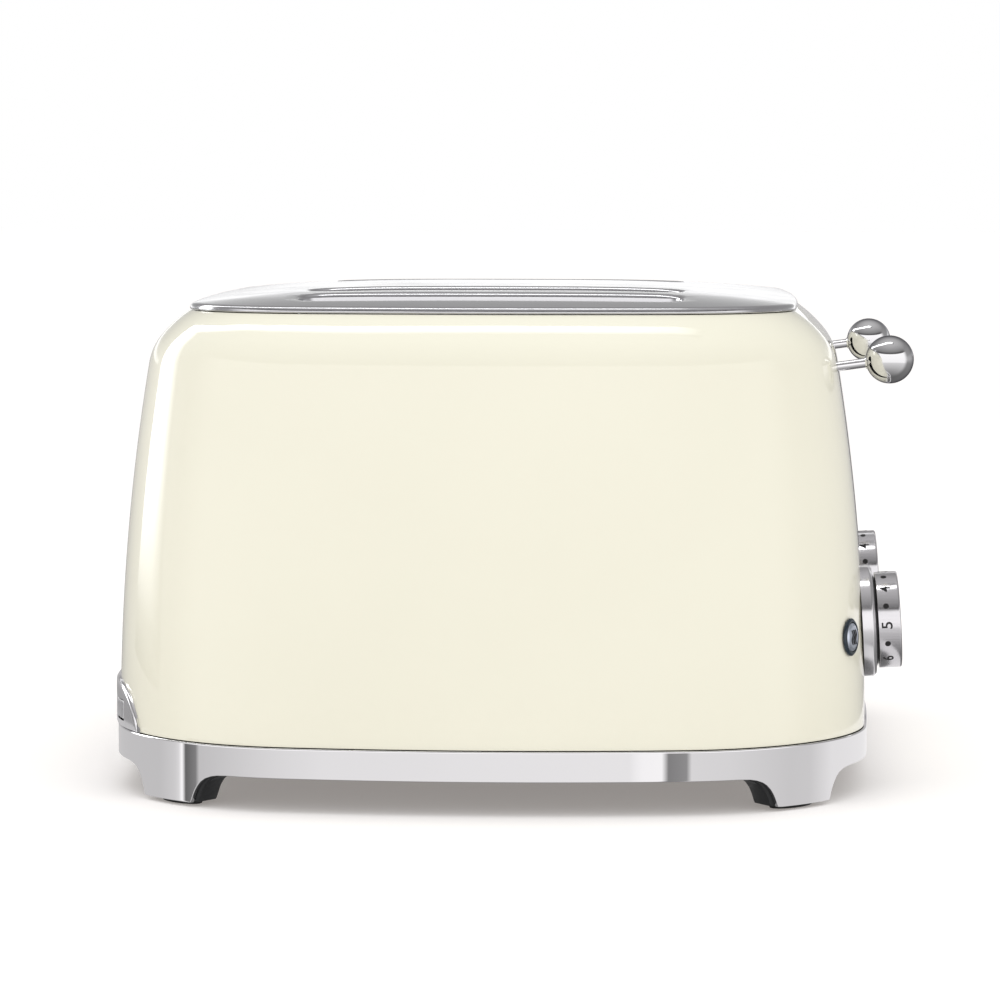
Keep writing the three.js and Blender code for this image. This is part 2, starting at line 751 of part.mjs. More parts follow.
const dial = () =>
  turnedX([
    [-14, 0],
    [-14, 3],
    [DIAL_BACK, 3],
    [DIAL_BACK, DIAL_R],
    [DIAL_FACE - 2, DIAL_R],
    [DIAL_FACE - 0.6, DIAL_R - 0.6],
    [DIAL_FACE, DIAL_R - 2],
    [DIAL_FACE, 9.6],
    [DIAL_FACE - 4, 9.6],
    [DIAL_FACE - 4, 0],
  ], 28);

const stopButton = () =>
  turnedX([
    [DIAL_FACE - 2.4, 0],
    [DIAL_FACE - 2.4, 9.2],
    [DIAL_FACE - 0.2, 9.2],
    [DIAL_FACE + 0.4, 8.2],
    [DIAL_FACE + 0.6, 0],
  ], 24);

const browningControl = () =>
  turnedX([
    [-24, 0],
    [-24, 10],
    [-6, 10],
    [-6, 3 + GAP],
    [-14 - GAP, 3 + GAP],
    [-14 - GAP, 0],
  ], 16);

const buttonRing = () =>
  turnedX([
    [-4, BUTTON_R + GAP],
    [-4, 6.7],
    [GAP + 0.1, 6.7],
    [GAP + 0.1, BUTTON_RING_R],
    [1, BUTTON_RING_R],
    [1.5, BUTTON_RING_R - 0.6],
    [1.5, BUTTON_R + GAP],
    [-4, BUTTON_R + GAP],
  ], 18);

const buttonCap = () =>
  turnedX([[-5, 0], [-5, BUTTON_R], [1.5, BUTTON_R], [2, BUTTON_R - 0.8], [2.2, 0]], 16);

function controls() {
  for (const bank of BANKS) {
    const frame = group(dialFrame(bank));
    part(`dial_bezel_${bank.name}`, bezel(frame), chrome, frame);
    part(`dial_${bank.name}`, dial(), satinSteel, frame);
    part(`stop_button_${bank.name}`, stopButton(), satinSteel, frame);
    part(`browning_control_${bank.name}`, browningControl(), blackPlastic, frame);
    part(`control_board_${bank.name}`, box(-26.2, -24.3, -30, 30, -34, 16), boardGreen, frame);
    for (const side of SIDES) {
      const place = group(buttonFrame(bank, side));
      part(`button_ring_${bank.name}_${side.name}`, buttonRing(), ringBlue, place);
      part(`button_${bank.name}_${side.name}`, buttonCap(), buttonSilver, place);
    }
  }
}

// ---------- crumb trays ----------

// A shallow pan whose front follows the body outline, flush with the trim that it slides through.
function crumbTray(bank) {
  const near = Math.sign(bank.y) * TRAY.inner;
  const far = Math.sign(bank.y) * TRAY.outer;
  const [y0, y1] = [Math.min(near, far), Math.max(near, far)];
  const block = box(-HALF_LENGTH - 10, TRAY.endX, y0, y1, TRAY.bottom, TRAY.top);
  const outline = [TRAY.bottom - 5, TRAY.top + 5].map((z) => outlineRing(-REAR_TRIM_PROUD, z));
  const trimmed = common(block, skin(outline, true));
  const hollowOutline = [
    outlineRing(3, TRAY.bottom + TRAY.wall),
    outlineRing(3, TRAY.top + 5),
  ];
  const hollow = common(
    box(-HALF_LENGTH, TRAY.endX - TRAY.wall, y0 + TRAY.wall, y1 - TRAY.wall, TRAY.bottom, TRAY.top + 9),
    skin(hollowOutline, true),
  );
  return cut(trimmed, hollow);
}

// ---------- assembly ----------

housing();
carriages();
guards();
controls();
for (const bank of BANKS) part(`crumb_tray_${bank.name}`, crumbTray(bank), satinSteel);
part("cord_gland", cordGland(), blackPlastic);

// The levers stand further out than the cord gland, so the box's middle is not the body's middle.
const leftEnd = HALF_LENGTH + REAR_TRIM_PROUD + GAP + GLAND.flangeWall;
const rightEnd = BALL_X + BALL_R;
toaster.position.x = (leftEnd - rightEnd) / 2;

export default toaster;
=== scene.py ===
"""Looks for a four-slot pop-up toaster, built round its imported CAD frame.

Shapes are worked out in millimetres from the middle of the toaster's body, then moved into the
row frame, which is in metres from the bottom centre of the overall box.
"""

import json
import math

import bmesh
import bpy
import numpy as np
from mathutils import Matrix, Vector, geometry


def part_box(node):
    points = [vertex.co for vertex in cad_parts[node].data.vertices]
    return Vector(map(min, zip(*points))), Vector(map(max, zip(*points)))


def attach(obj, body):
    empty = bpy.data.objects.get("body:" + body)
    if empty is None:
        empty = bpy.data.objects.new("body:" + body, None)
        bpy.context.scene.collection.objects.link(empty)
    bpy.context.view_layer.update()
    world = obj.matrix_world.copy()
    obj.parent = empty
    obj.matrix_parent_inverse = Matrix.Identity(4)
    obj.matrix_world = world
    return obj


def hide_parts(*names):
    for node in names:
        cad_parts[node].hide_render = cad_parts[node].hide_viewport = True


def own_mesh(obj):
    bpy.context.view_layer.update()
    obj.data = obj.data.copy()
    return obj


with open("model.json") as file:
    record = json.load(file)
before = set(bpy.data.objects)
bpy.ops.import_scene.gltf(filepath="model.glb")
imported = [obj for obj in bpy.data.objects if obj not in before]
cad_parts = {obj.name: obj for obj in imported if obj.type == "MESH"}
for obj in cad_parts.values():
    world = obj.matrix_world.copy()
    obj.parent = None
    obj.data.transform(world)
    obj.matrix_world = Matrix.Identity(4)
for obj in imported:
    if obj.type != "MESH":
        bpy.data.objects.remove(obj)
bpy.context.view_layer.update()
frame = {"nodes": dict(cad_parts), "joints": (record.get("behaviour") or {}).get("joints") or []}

MM = 0.001
JOINTS = {joint["name"]: joint for joint in frame["joints"]}
shell_low, shell_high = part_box("outer_shell")
CENTRE = np.array([(shell_low.x + shell_high.x) / 2 / MM, 0.0, 0.0])


def mm_box(node):
    """A CAD node's low and high corners in millimetres, from the middle of the body."""
    low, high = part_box(node)
    return np.array(low) / MM - CENTRE, np.array(high) / MM - CENTRE


# ---------- sizes ----------

# the body's plan: corner arcs between slightly crowned long sides and ends
CORNER_R, CORNER_X = 88.0, 67.0
FRONT_CROWN_R, END_CROWN_R = 569.0, 1919.0
HALF_DEPTH = (shell_high.y - shell_low.y) / 2 / MM
FRONT_ANGLE = math.asin(CORNER_X / (FRONT_CROWN_R - CORNER_R))
FRONT_CENTRE_Y = HALF_DEPTH - FRONT_CROWN_R
CORNER_Y = FRONT_CENTRE_Y + (FRONT_CROWN_R - CORNER_R) * math.cos(FRONT_ANGLE)
END_ANGLE = math.asin(CORNER_Y / (END_CROWN_R - CORNER_R))
END_CENTRE_X = CORNER_X - (END_CROWN_R - CORNER_R) * math.cos(END_ANGLE)

# the body's section: a crowned wall, then arcs of [radius, slope at the end, steps] that turn
# fast, then slowly, then roll over as a lip under the top plate
BASE_TOP, WALL_CROWN_R, SHOULDER_START, SHELL_TOP, LIP, SKIN = 26.2, 900.0, 176.0, 197.8, 5.0, 1.4
WALL_ROWS = 60
SHOULDER = ((24.0, 40, 30), (51.5, 57, 14), (3.0, 90, 8))
RISING_ROWS, LIP_ROWS = 100, 9

# the top plate
RIM_INSET, RIM_BOTTOM, RIM_TOP, DOME_RISE, DOME_POWER = 29.5, 198.2, 200.6, 5.6, 3
RIM_EDGE_R, SLOT_EDGE_R = 1.7, 2.0
EDGE_STEPS = 1 - np.cos(np.radians((25, 45, 65, 90)))
SHEET_STEEL = 1.1

BANKS = {"front": -97.5, "rear": 97.5}
SIDES = {"a": -1, "b": 1}
SLOT_OFFSET, SLOT_LENGTH, SLOT_WIDTH, SLOT_CORNER = 26.0, 157.0, 34.0, 12.0
SLOT_CENTRES = [y + sign * SLOT_OFFSET for y in BANKS.values() for sign in SIDES.values()]
LEVER_SLOT_HALF, LEVER_SLOT_Z = 3.5, (98, 181)


def tray_window(y, inset=0.0):
    """A crumb tray's opening in the -X end: its low and high Y, and its low and high Z."""
    y0, y1 = sorted(math.copysign(reach, y) for reach in (19 + inset, 139 - inset))
    return y0, y1, 29 + inset, 38.5 - inset


# ---------- the plan outline and the wall's section ----------


def plan(angle, inset):
    """Outline points whose outward normal has this direction, moved inwards by inset."""
    angle, inset = np.broadcast_arrays(np.asarray(angle, float), np.asarray(inset, float))
    c, s = np.cos(angle), np.sin(angle)
    slope = np.arctan2(np.abs(s), np.abs(c))
    end = slope < END_ANGLE
    front = slope > math.pi / 2 - FRONT_ANGLE
    cx = np.where(end, END_CENTRE_X, np.where(front, 0.0, CORNER_X))
    cy = np.where(end, 0.0, np.where(front, FRONT_CENTRE_Y, CORNER_Y))
    r = np.where(end, END_CROWN_R, np.where(front, FRONT_CROWN_R, CORNER_R)) - inset
    return np.stack([np.sign(c) * cx + r * c, np.sign(s) * cy + r * s], -1)


def outline_angles(corner_steps, front_steps, end_steps):
    """Directions once round the outline, starting at the middle of the rear wall (+Y)."""
    quarter = math.pi / 2
    pieces = []
    for side in range(4):
        on_front = side % 2 == 0
        here, after = (FRONT_ANGLE, END_ANGLE) if on_front else (END_ANGLE, FRONT_ANGLE)
        steps = front_steps if on_front else end_steps
        start = quarter + side * quarter
        pieces.append(np.linspace(start - here, start + here, steps, endpoint=False))
        corner = np.linspace(start + here, start + quarter - after, corner_steps, endpoint=False)
        pieces.append(corner)
    angles = np.concatenate(pieces)
    middle = front_steps // 2
    return np.concatenate([angles[middle:], angles[:middle] + 2 * math.pi])


def lengths_along(points):
    return np.concatenate([[0], np.cumsum(np.linalg.norm(np.diff(points, axis=0), axis=1))])


FINE = outline_angles(400, 200, 100)
FINE = np.append(FINE, FINE[0] + 2 * math.pi)
ARC = lengths_along(plan(FINE, 0))
AROUND = ARC[-1]


def angle_at(arc):
    """The outline's direction at a length along it from the middle of the rear wall."""
    return np.interp(arc, ARC, FINE)


def angle_on_end(y, sign, inset=0.0):
    """The outline's direction at a given Y on the +X or -X end, between 90 and 450 degrees."""
    slopes = np.linspace(-math.pi / 2, math.pi / 2, 4001)
    across = plan(slopes, inset)[:, 1]
    slope = np.interp(y, across, slopes)
    return slope + 2 * math.pi if sign > 0 else math.pi - slope


def wall_slope(z):
    return np.arcsin((np.asarray(z, float) - BASE_TOP) / WALL_CROWN_R)


def wall_inset(z):
    return WALL_CROWN_R * (1 - np.cos(wall_slope(z)))


def wall_section():
    """The shell's section as rows of inset, height and slope of its normal, from the base up."""
    heights = np.linspace(BASE_TOP + 0.4, SHOULDER_START, WALL_ROWS)
    rows = [(float(wall_inset(z)), z, float(wall_slope(z))) for z in heights]
    for radius, last, steps in SHOULDER:
        inset, z, start = rows[-1]
        for slope in np.linspace(start, math.radians(last), steps)[1:]:
            rows.append((inset + radius * (math.cos(start) - math.cos(slope)),
                         z + radius * (math.sin(slope) - math.sin(start)), slope))
    rows = [(inset, min(z, SHELL_TOP), slope) for inset, z, slope in rows]
    rows.append((rows[-1][0] + LIP, SHELL_TOP, math.pi / 2))
    return np.array(rows, float)


SECTION = wall_section()
SECTION_RUN = lengths_along(SECTION[:, :2])


def on_shell(arc, run):
    """Points and outward normals of the shell at lengths round the outline and up the section."""
    inset, z, slope = (np.interp(run, SECTION_RUN, SECTION[:, k]) for k in range(3))
    angle = angle_at(arc)
    normals = np.column_stack(
        [np.cos(angle) * np.cos(slope), np.sin(angle) * np.cos(slope), np.sin(slope)]
    )
    return level(plan(angle, inset), z), normals


def to_shell(yz, sign):
    """Points drawn in Y and Z on an end wall, as lengths round the outline and up the section."""
    arcs = np.interp(angle_on_end(yz[:, 0], sign), FINE, ARC)
    runs = np.interp(yz[:, 1], SECTION[:RISING_ROWS, 1], SECTION_RUN[:RISING_ROWS])
    return np.column_stack([arcs, runs])


# ---------- shapes, as (points, faces) pairs ----------


def level(outline, z):
    """Flat points, lifted to one height or each to its own."""
    return np.column_stack([outline, np.broadcast_to(np.asarray(z, float), len(outline))])


def grid_of(xs, ys):
    across, up = np.meshgrid(xs, ys)
    return np.column_stack([across.ravel(), up.ravel()])


def oval(half_x, half_y, count):
    turn = np.linspace(0, 2 * math.pi, count, endpoint=False)
    return np.column_stack([half_x * np.cos(turn), half_y * np.sin(turn)])


def face_out(points, faces):
    """The same faces, wound so that a closed surface's normals point out."""
    mesh = bmesh.new()
    verts = [mesh.verts.new(p) for p in points]
    for face in faces:
        mesh.faces.new([verts[i] for i in face])
    bmesh.ops.recalc_face_normals(mesh, faces=mesh.faces)
    mesh.verts.index_update()
    wound = [[v.index for v in f.verts] for f in mesh.faces]
    mesh.free()
    return wound


def join_shapes(parts):
    """Stacks (points, faces) pairs into one pair."""
    points, faces, start = [], [], 0
    for part_points, part_faces in parts:
        points.append(np.asarray(part_points, float))
        faces += [[i + start for i in face] for face in part_faces]
        start += len(part_points)
    return np.concatenate(points), faces


def grid_faces(rows, columns, wrap_rows=False, wrap_columns=True):
    """Quads of a rows x columns grid of points, stored row by row."""
    faces = []
    for r in range(rows if wrap_rows else rows - 1):
        for c in range(columns if wrap_columns else columns - 1):
            a, b = r * columns, ((r + 1) % rows) * columns
            d = (c + 1) % columns
            faces.append([a + c, a + d, b + d, b + c])
    return faces


def loft(rings, closed=False):
    """Skins rings of equal length. The ends are capped unless the rings close on each other."""
    count = len(rings[0])
    faces = grid_faces(len(rings), count, wrap_rows=closed)
    if not closed:
        faces.append(list(range(count))[::-1])
        faces.append([(len(rings) - 1) * count + i for i in range(count)])
    points = np.concatenate(rings).astype(float)
    return points, face_out(points, faces)


def filleted(points, radius, steps=4, closed=False):
    """A polyline with its corners rounded. radius is one number, or one for each point."""
    points = [np.asarray(p, float) for p in points]
    count = len(points)
    radii = [radius] * count if np.isscalar(radius) else list(radius)
    out = []
    for i, corner in enumerate(points):
        if not closed and i in (0, count - 1) or radii[i] <= 0:
            out.append(corner)
            continue
        before, after = points[i - 1] - corner, points[(i + 1) % count] - corner
        length_a, length_b = np.linalg.norm(before), np.linalg.norm(after)
        u, v = before / length_a, after / length_b
        half = math.acos(float(np.clip(np.dot(u, v), -1, 1))) / 2
        if half > math.pi / 2 - 0.01:
            out.append(corner)
            continue
        reach = min(radii[i] / math.tan(half), 0.49 * length_a, 0.49 * length_b)
        r = reach * math.tan(half)
        centre = corner + (u + v) / np.linalg.norm(u + v) * (r / math.sin(half))
        start, end = corner + u * reach - centre, corner + v * reach - centre
        total = math.pi - 2 * half
        for t in np.linspace(0, 1, steps + 1):
            weight_a = math.sin((1 - t) * total) / math.sin(total)
            weight_b = math.sin(t * total) / math.sin(total)
            out.append(centre + start * weight_a + end * weight_b)
    return np.array(out)


def rounded_rectangle(x0, x1, y0, y1, radius, steps=4):
    return filleted([(x0, y0), (x1, y0), (x1, y1), (x0, y1)], radius, steps, closed=True)


def turned(profile, sides=64):
    """A solid of revolution about +X from [x, radius] points that start and end on the axis,
    or that go round a closed ring."""
    profile = np.asarray(profile, float)
    on_axis = profile[0][1] < 1e-6
    body = profile[1:-1] if on_axis else profile
    points = np.concatenate([level(oval(r, r, sides), x)[:, [2, 0, 1]] for x, r in body])
    faces = grid_faces(len(body), sides, wrap_rows=not on_axis)
    if on_axis:
        points = np.vstack([points, [profile[0][0], 0, 0], [profile[-1][0], 0, 0]])
        first, last = len(points) - 2, len(points) - 1
        top = (len(body) - 1) * sides
        for i in range(sides):
            j = (i + 1) % sides
            faces += [[first, j, i], [last, top + i, top + j]]
    return points, face_out(points, faces)


def tube(path, radius, sides=10, closed=False):
    """A round wire along a path."""
    path = np.asarray(path, float)
    if closed:
        tangents = np.roll(path, -1, 0) - np.roll(path, 1, 0)
    else:
        tangents = np.gradient(path, axis=0)
    tangents /= np.linalg.norm(tangents, axis=1)[:, None]
    side = np.cross(tangents[0], [0.3, 0.2, 1.0])
    rings = []
    for at, tangent in zip(path, tangents):
        side = side - tangent * np.dot(side, tangent)
        side /= np.linalg.norm(side)
        rings.append(at + oval(radius, radius, sides) @ [side, np.cross(tangent, side)])
    return loft(rings, closed)


def shrink(outline, distance):
    """Moves a closed 2-D outline inwards along its own normals."""
    ahead = np.roll(outline, -1, 0) - outline
    behind = outline - np.roll(outline, 1, 0)
    ahead /= np.maximum(np.linalg.norm(ahead, axis=1), 1e-9)[:, None]
    behind /= np.maximum(np.linalg.norm(behind, axis=1), 1e-9)[:, None]
    normal = np.column_stack([-(ahead + behind)[:, 1], (ahead + behind)[:, 0]])
    normal /= np.maximum(np.linalg.norm(normal, axis=1), 1e-9)[:, None]
    x, y = outline.T
    area = np.sum(x * np.roll(y, -1) - np.roll(x, -1) * y)
    return outline + normal * distance * (1 if area > 0 else -1)


def slab(outline, low, high, edge=0.0, steps=3):
    """A plate from a closed 2-D outline, with its top and bottom edges rounded by edge."""
    outline = np.asarray(outline, float)
    if edge <= 0:
        return loft([level(outline, z) for z in (low, high)])
    quarter = np.linspace(0, math.pi / 2, steps + 1)
    rings = [
        level(shrink(outline, edge * (1 - math.sin(a))), z + way * edge * (1 - math.cos(a)))
        for z, way in ((low, 1), (high, -1)) for a in quarter[::way]
    ]
    return loft(rings)


def rounded_box(x0, x1, y0, y1, z0, z1, edge=0.5, corner=None):
    """A box with rounded edges, built as a slab of a rounded rectangle."""
    r = corner if corner is not None else edge
    return slab(rounded_rectangle(x0, x1, y0, y1, max(r, 0.05)), z0, z1, edge)


def turn_to(points, matrix):
    """Applies a 4 x 4 matrix, in millimetres from the middle of the body, to points."""
    m = np.array(matrix)
    return np.asarray(points, float) @ m[:3, :3].T + m[:3, 3]


def along(axis, origin):
    """A matrix whose +X is axis, with +Z as near to up as it can be, at origin."""
    x = Vector(axis).normalized()
    z = (Vector((0, 0, 1)) - x * x.z).normalized()
    m = Matrix((x, z.cross(x), z)).transposed().to_4x4()
    m.translation = Vector(origin)
    return m


def standing(x, y):
    """A matrix that stands a shape turned about +X up at a place on the floor."""
    return Matrix.Translation((x, y, 0)) @ Matrix.Rotation(-math.pi / 2, 4, "Y")


def inside_polygon(points, polygon):
    """Which 2-D points lie inside a polygon."""
    x, y = points[:, 0], points[:, 1]
    inside = np.zeros(len(points), bool)
    for (x0, y0), (x1, y1) in zip(polygon, np.roll(polygon, -1, 0)):
        crosses = (y0 > y) != (y1 > y)
        slope = (x1 - x0) / (y1 - y0 if y1 != y0 else 1e-12)
        inside ^= crosses & (x < x0 + slope * (y - y0))
    return inside


def resampled(outline, step):
    """A closed 2-D outline with points about step apart, its corners kept."""
    out = []
    for a, b in zip(outline, np.roll(outline, -1, 0)):
        count = max(1, int(round(np.linalg.norm(b - a) / step)))
        out += [a + (b - a) * t / count for t in range(count)]
    return np.array(out)


def mesh_sheet(border, holes, grid, clear, rings=()):
    """Triangulates a flat sheet with holes. border and holes are closed outlines, rings are more
    closed outlines to follow, and grid points nearer than clear to any of them are dropped."""

    def in_sheet(points):
        inside = inside_polygon(points, border)
        for hole in holes:
            inside &= ~inside_polygon(points, hole)
        return inside

    loops = [border, *holes, *rings]
    edge_points = np.concatenate(loops)
    grid = grid[in_sheet(grid)]
    near = np.zeros(len(grid), bool)
    for start in range(0, len(grid), 500):
        part = grid[start : start + 500]
        gaps = np.linalg.norm(part[:, None] - edge_points[None], axis=2).min(axis=1)
        near[start : start + 500] = gaps < clear
    points = np.concatenate([edge_points, grid[~near]])
    edges, start = [], 0
    for loop in loops:
        count = len(loop)
        edges += [(start + i, start + (i + 1) % count) for i in range(count)]
        start += count
    made = geometry.delaunay_2d_cdt([Vector(p) for p in points], edges, [], 0, 1e-6)
    flat = np.array([list(v) for v in made[0]])
    faces = np.array(made[2])
    return flat, faces[in_sheet(flat[faces].mean(axis=1))]


def open_edges(faces):
    """The edges, in their faces' direction, that only one triangle has."""
    directed = dict.fromkeys((f[k], f[(k + 1) % 3]) for f in faces for k in range(3))
    return [(a, b) for a, b in directed if (b, a) not in directed]


def thickened(points, normals, faces, thickness):
    """Gives a surface a back face and edges. Returns points, faces and a normal per corner."""
    count = len(points)
    all_faces = [list(f) for f in faces]
    corner_normals = [normals[i] for f in faces for i in f]
    for a, b, c in faces:
        all_faces.append([c + count, b + count, a + count])
        corner_normals += [-normals[c], -normals[b], -normals[a]]
    for a, b in open_edges(faces):
        all_faces.append([b, a, a + count, b + count])
        across = np.cross(points[a] - points[b], normals[a])
        across /= max(np.linalg.norm(across), 1e-9)
        corner_normals += [across] * 4
    return np.vstack([points, points - normals * thickness]), all_faces, np.array(corner_normals)


def faces_follow(points, normals, faces):
    """Winds triangles so that they face along their points' normals."""
    a, b, c = (points[faces[:, k]] for k in range(3))
    turned_over = np.einsum("ij,ij->i", np.cross(b - a, c - a), normals[faces[:, 0]]) < 0
    faces = faces.copy()
    faces[turned_over] = faces[turned_over][:, ::-1]
    return faces


def weld(points, normals, faces):
    """Merges points that meet along a seam."""
    _, first, where = np.unique(
        np.round(points, 4), axis=0, return_index=True, return_inverse=True
    )
    faces = where.reshape(-1)[faces]
    good = (faces != np.roll(faces, 1, axis=1)).all(axis=1)
    return points[first], normals[first], faces[good]


# ---------- materials ----------


def add_node(tree, kind, *inputs, **settings):
    """Adds a shader node. A socket given for an input is linked to it and a value is set in it.
    A name that isn't an input is a setting of the node."""
    made = tree.nodes.new(f"ShaderNode{kind}")
    for key, value in [*enumerate(inputs), *settings.items()]:
        socket = key if isinstance(key, int) else key.replace("_", " ")
        if isinstance(key, str) and socket not in made.inputs:
            setattr(made, key, value)
        elif isinstance(value, bpy.types.NodeSocket):
            tree.links.new(value, made.inputs[socket])
        else:
            made.inputs[socket].default_value = value
    return made


class Look:
    """A node material, built up a few nodes at a time."""

    def __init__(self, name, color, roughness, metallic=0.0, **sockets):
        self.material = bpy.data.materials.new(name)
        self.material.use_nodes = True
        self.tree = self.material.node_tree
        self.shader = self.tree.nodes["Principled BSDF"]
        sockets |= {"Base_Color": (*color, 1.0), "Roughness": roughness, "Metallic": metallic}
        for key, value in sockets.items():
            self.shader.inputs[key.replace("_", " ")].default_value = value
        self.bump = None
        self.coords = self.node("TexCoord").outputs["Object"]

    def node(self, kind, *inputs, **settings):
        return add_node(self.tree, kind, *inputs, **settings)

    def scaled(self, scale, turn=(0, 0, 0)):
        return self.node("Mapping", self.coords, Scale=scale, Rotation=turn).outputs["Vector"]

    def noise(self, scale, detail=2.0, stretch=(1, 1, 1)):
        vector = self.scaled(stretch)
        return self.node("TexNoise", Vector=vector, Scale=scale, Detail=detail).outputs["Fac"]

    def vary(self, socket, source, low, high, start=0.3, stop=0.7):
        ends = {"From_Min": start, "From_Max": stop, "To_Min": low, "To_Max": high}
        ranged = self.node("MapRange", Value=source, **ends)
        self.tree.links.new(ranged.outputs["Result"], self.shader.inputs[socket])

    def tint(self, source, color_a, color_b, start=0.3, stop=0.7):
        ramp = self.node("ValToRGB", Fac=source)
        for element, at, color in zip(
            ramp.color_ramp.elements, (start, stop), (color_a, color_b)
        ):
            element.position = at
            element.color = (*color, 1)
        self.tree.links.new(ramp.outputs["Color"], self.shader.inputs["Base Color"])

    def raise_by(self, source, distance, strength=1.0):
        bump = self.node("Bump", Height=source, Distance=distance, Strength=strength)
        if self.bump:
            self.tree.links.new(self.bump, bump.inputs["Normal"])
        self.bump = bump.outputs["Normal"]
        self.tree.links.new(self.bump, self.shader.inputs["Normal"])


def times(color, factor):
    return tuple(c * factor for c in color)


def enamel():
    """Cream enamel: a clear glossy coat over a softly uneven colour, with faint orange peel."""
    look = Look("cream_enamel", (0.82, 0.80, 0.67), 0.32, Coat_Weight=1.0, Coat_Roughness=0.02,
                Coat_IOR=1.5, Specular_IOR_Level=0.05)
    look.tint(look.noise(9, 3), (0.805, 0.785, 0.655), (0.825, 0.805, 0.675))
    look.vary("Roughness", look.noise(60, 2), 0.28, 0.36)
    look.raise_by(look.noise(420, 1), 0.00002, 0.35)
    return look.material


def brushed(name, color, low, high, stretch, strength=0.35, scale=900):
    """Steel with fine brush lines along one direction and slight smudges."""
    look = Look(name, color, low, 1.0)
    lines = look.noise(scale, 3, stretch)
    mixed = look.node("Math", lines, look.noise(30, 2), operation="MULTIPLY")
    look.vary("Roughness", mixed.outputs[0], low, high, 0.12, 0.4)
    look.tint(lines, times(color, 0.93), color)
    look.raise_by(lines, 0.00002, strength)
    return look.material


def plated(name, color, roughness, unevenness=0.03, edge=(1, 1, 1)):
    """Bright plating: nearly a mirror, with faint wiping marks, and tinted where seen edge-on."""
    look = Look(name, color, roughness, 1.0, Specular_Tint=(*edge, 1))
    look.vary("Roughness", look.noise(25, 4, (1, 1, 3)), roughness, roughness + unevenness)
    look.tint(look.noise(12, 2), times(color, 0.97), color)
    look.raise_by(look.noise(45, 1), 0.00003, 0.12)
    return look.material


def grained(name, color, roughness, grain=1400, depth=0.00005):
    """Moulded plastic or rubber with a fine grain and small changes in tone."""
    look = Look(name, color, roughness)
    look.tint(look.noise(40, 3), times(color, 0.8), times(color, 1.25))
    look.vary("Roughness", look.noise(200, 2), roughness - 0.06, roughness + 0.06)
    look.raise_by(look.noise(grain, 2), depth, 0.5)
    return look.material


def galvanised():
    """Zinc-plated sheet with its mottled spangle."""
    look = Look("galvanised_steel", (0.5, 0.51, 0.52), 0.4, 1.0)
    cells = look.node("TexVoronoi", Vector=look.coords, Scale=160.0)
    look.tint(cells.outputs["Color"], (0.42, 0.43, 0.44), (0.58, 0.59, 0.6))
    look.vary("Roughness", look.noise(80, 2), 0.3, 0.5)
    look.raise_by(look.noise(300, 2), 0.00002, 0.3)
    return look.material


def mica():
    """Layered mica sheet: pale brown flakes with a slight sheen."""
    look = Look("mica", (0.5, 0.42, 0.3), 0.45, 0.1)
    look.tint(look.noise(60, 5, (1, 1, 2)), (0.36, 0.29, 0.19), (0.62, 0.54, 0.4))
    look.vary("Roughness", look.noise(150, 3), 0.35, 0.6)
    look.raise_by(look.noise(240, 3), 0.00006, 0.4)
    return look.material


def board():
    """Green solder mask with the ghost of copper tracks."""
    look = Look("circuit_board", (0.02, 0.16, 0.07), 0.3)
    across = look.scaled((1, 1, 1), (math.pi / 2, 0, math.pi / 2))
    tracks = look.node("TexBrick", Vector=across, Scale=260.0).outputs["Fac"]
    look.tint(tracks, (0.015, 0.13, 0.06), (0.05, 0.24, 0.1))
    look.raise_by(tracks, 0.00005, 0.4)
    return look.material


def winding():
    """Lacquered copper wire in close turns, with the turns stacked along Z."""
    look = Look("copper_winding", (0.6, 0.26, 0.12), 0.28, 1.0)
    wave = look.node("TexWave", Vector=look.coords, Scale=320.0, bands_direction="Z")
    # the tint is darkest where the bump dips between the turns: painted shade in the valleys
    look.tint(wave.outputs["Fac"], (0.32, 0.12, 0.05), (0.72, 0.34, 0.17))
    look.raise_by(wave.outputs["Fac"], 0.0003, 0.7)
    return look.material


# the material of each look, and the slot that its pieces belong to
CHROME, STEEL = "polished_chrome", "satin_steel"
LOOKS = {
    "enamel": (enamel(), "cream_enamel"),
    "top": (brushed(STEEL, (0.70, 0.70, 0.72), 0.11, 0.18, (0.02, 1, 1), 0.15), STEEL),
    "tray": (brushed("tray_steel", (0.62, 0.62, 0.63), 0.25, 0.4, (1, 0.02, 1)), STEEL),
    "dial": (brushed("satin_chrome", (0.74, 0.73, 0.75), 0.12, 0.2, (0.03, 1, 1), 0.2, 1600), STEEL),
    "bezel": (plated("bezel_chrome", (0.78, 0.77, 0.79), 0.16), CHROME),
    "trim": (plated("trim_chrome", (0.82, 0.815, 0.83), 0.12), CHROME),
    "chrome": (plated(CHROME, (0.86, 0.855, 0.865), 0.03, 0.02), CHROME),
    # the balls' dark edge tint darkens their rims where seen edge-on: a painted dark reflection
    "ball": (plated("ball_chrome", (0.80, 0.80, 0.81), 0.03, 0.02, (0.2, 0.2, 0.22)), CHROME),
    "black": (grained("black_plastic", (0.012, 0.013, 0.014), 0.42), "black_plastic"),
    "rubber": (grained("rubber", (0.01, 0.01, 0.01), 0.75, 900, 0.0001), "rubber"),
    "ink": (grained("printed_black", (0.006, 0.006, 0.007), 0.5), None),
    "ring": (grained("dark_ring", (0.01, 0.02, 0.03), 0.2, 2000, 0.00001), "dark_ring"),
    "cap": (plated("button_cap", (0.72, 0.78, 0.88), 0.25), "button_cap"),
    "zinc": (galvanised(), "galvanised_steel"),
    "wire": (plated("wire_steel", (0.55, 0.55, 0.56), 0.22), "dark_steel"),
    "dark": (plated("dark_steel", (0.22, 0.23, 0.25), 0.3), "dark_steel"),
    "ribbon": (plated("ribbon", (0.42, 0.36, 0.3), 0.35), "dark_steel"),
    "mica": (mica(), "mica"),
    "board": (board(), "circuit_board"),
    "winding": (winding(), "copper_winding"),
}


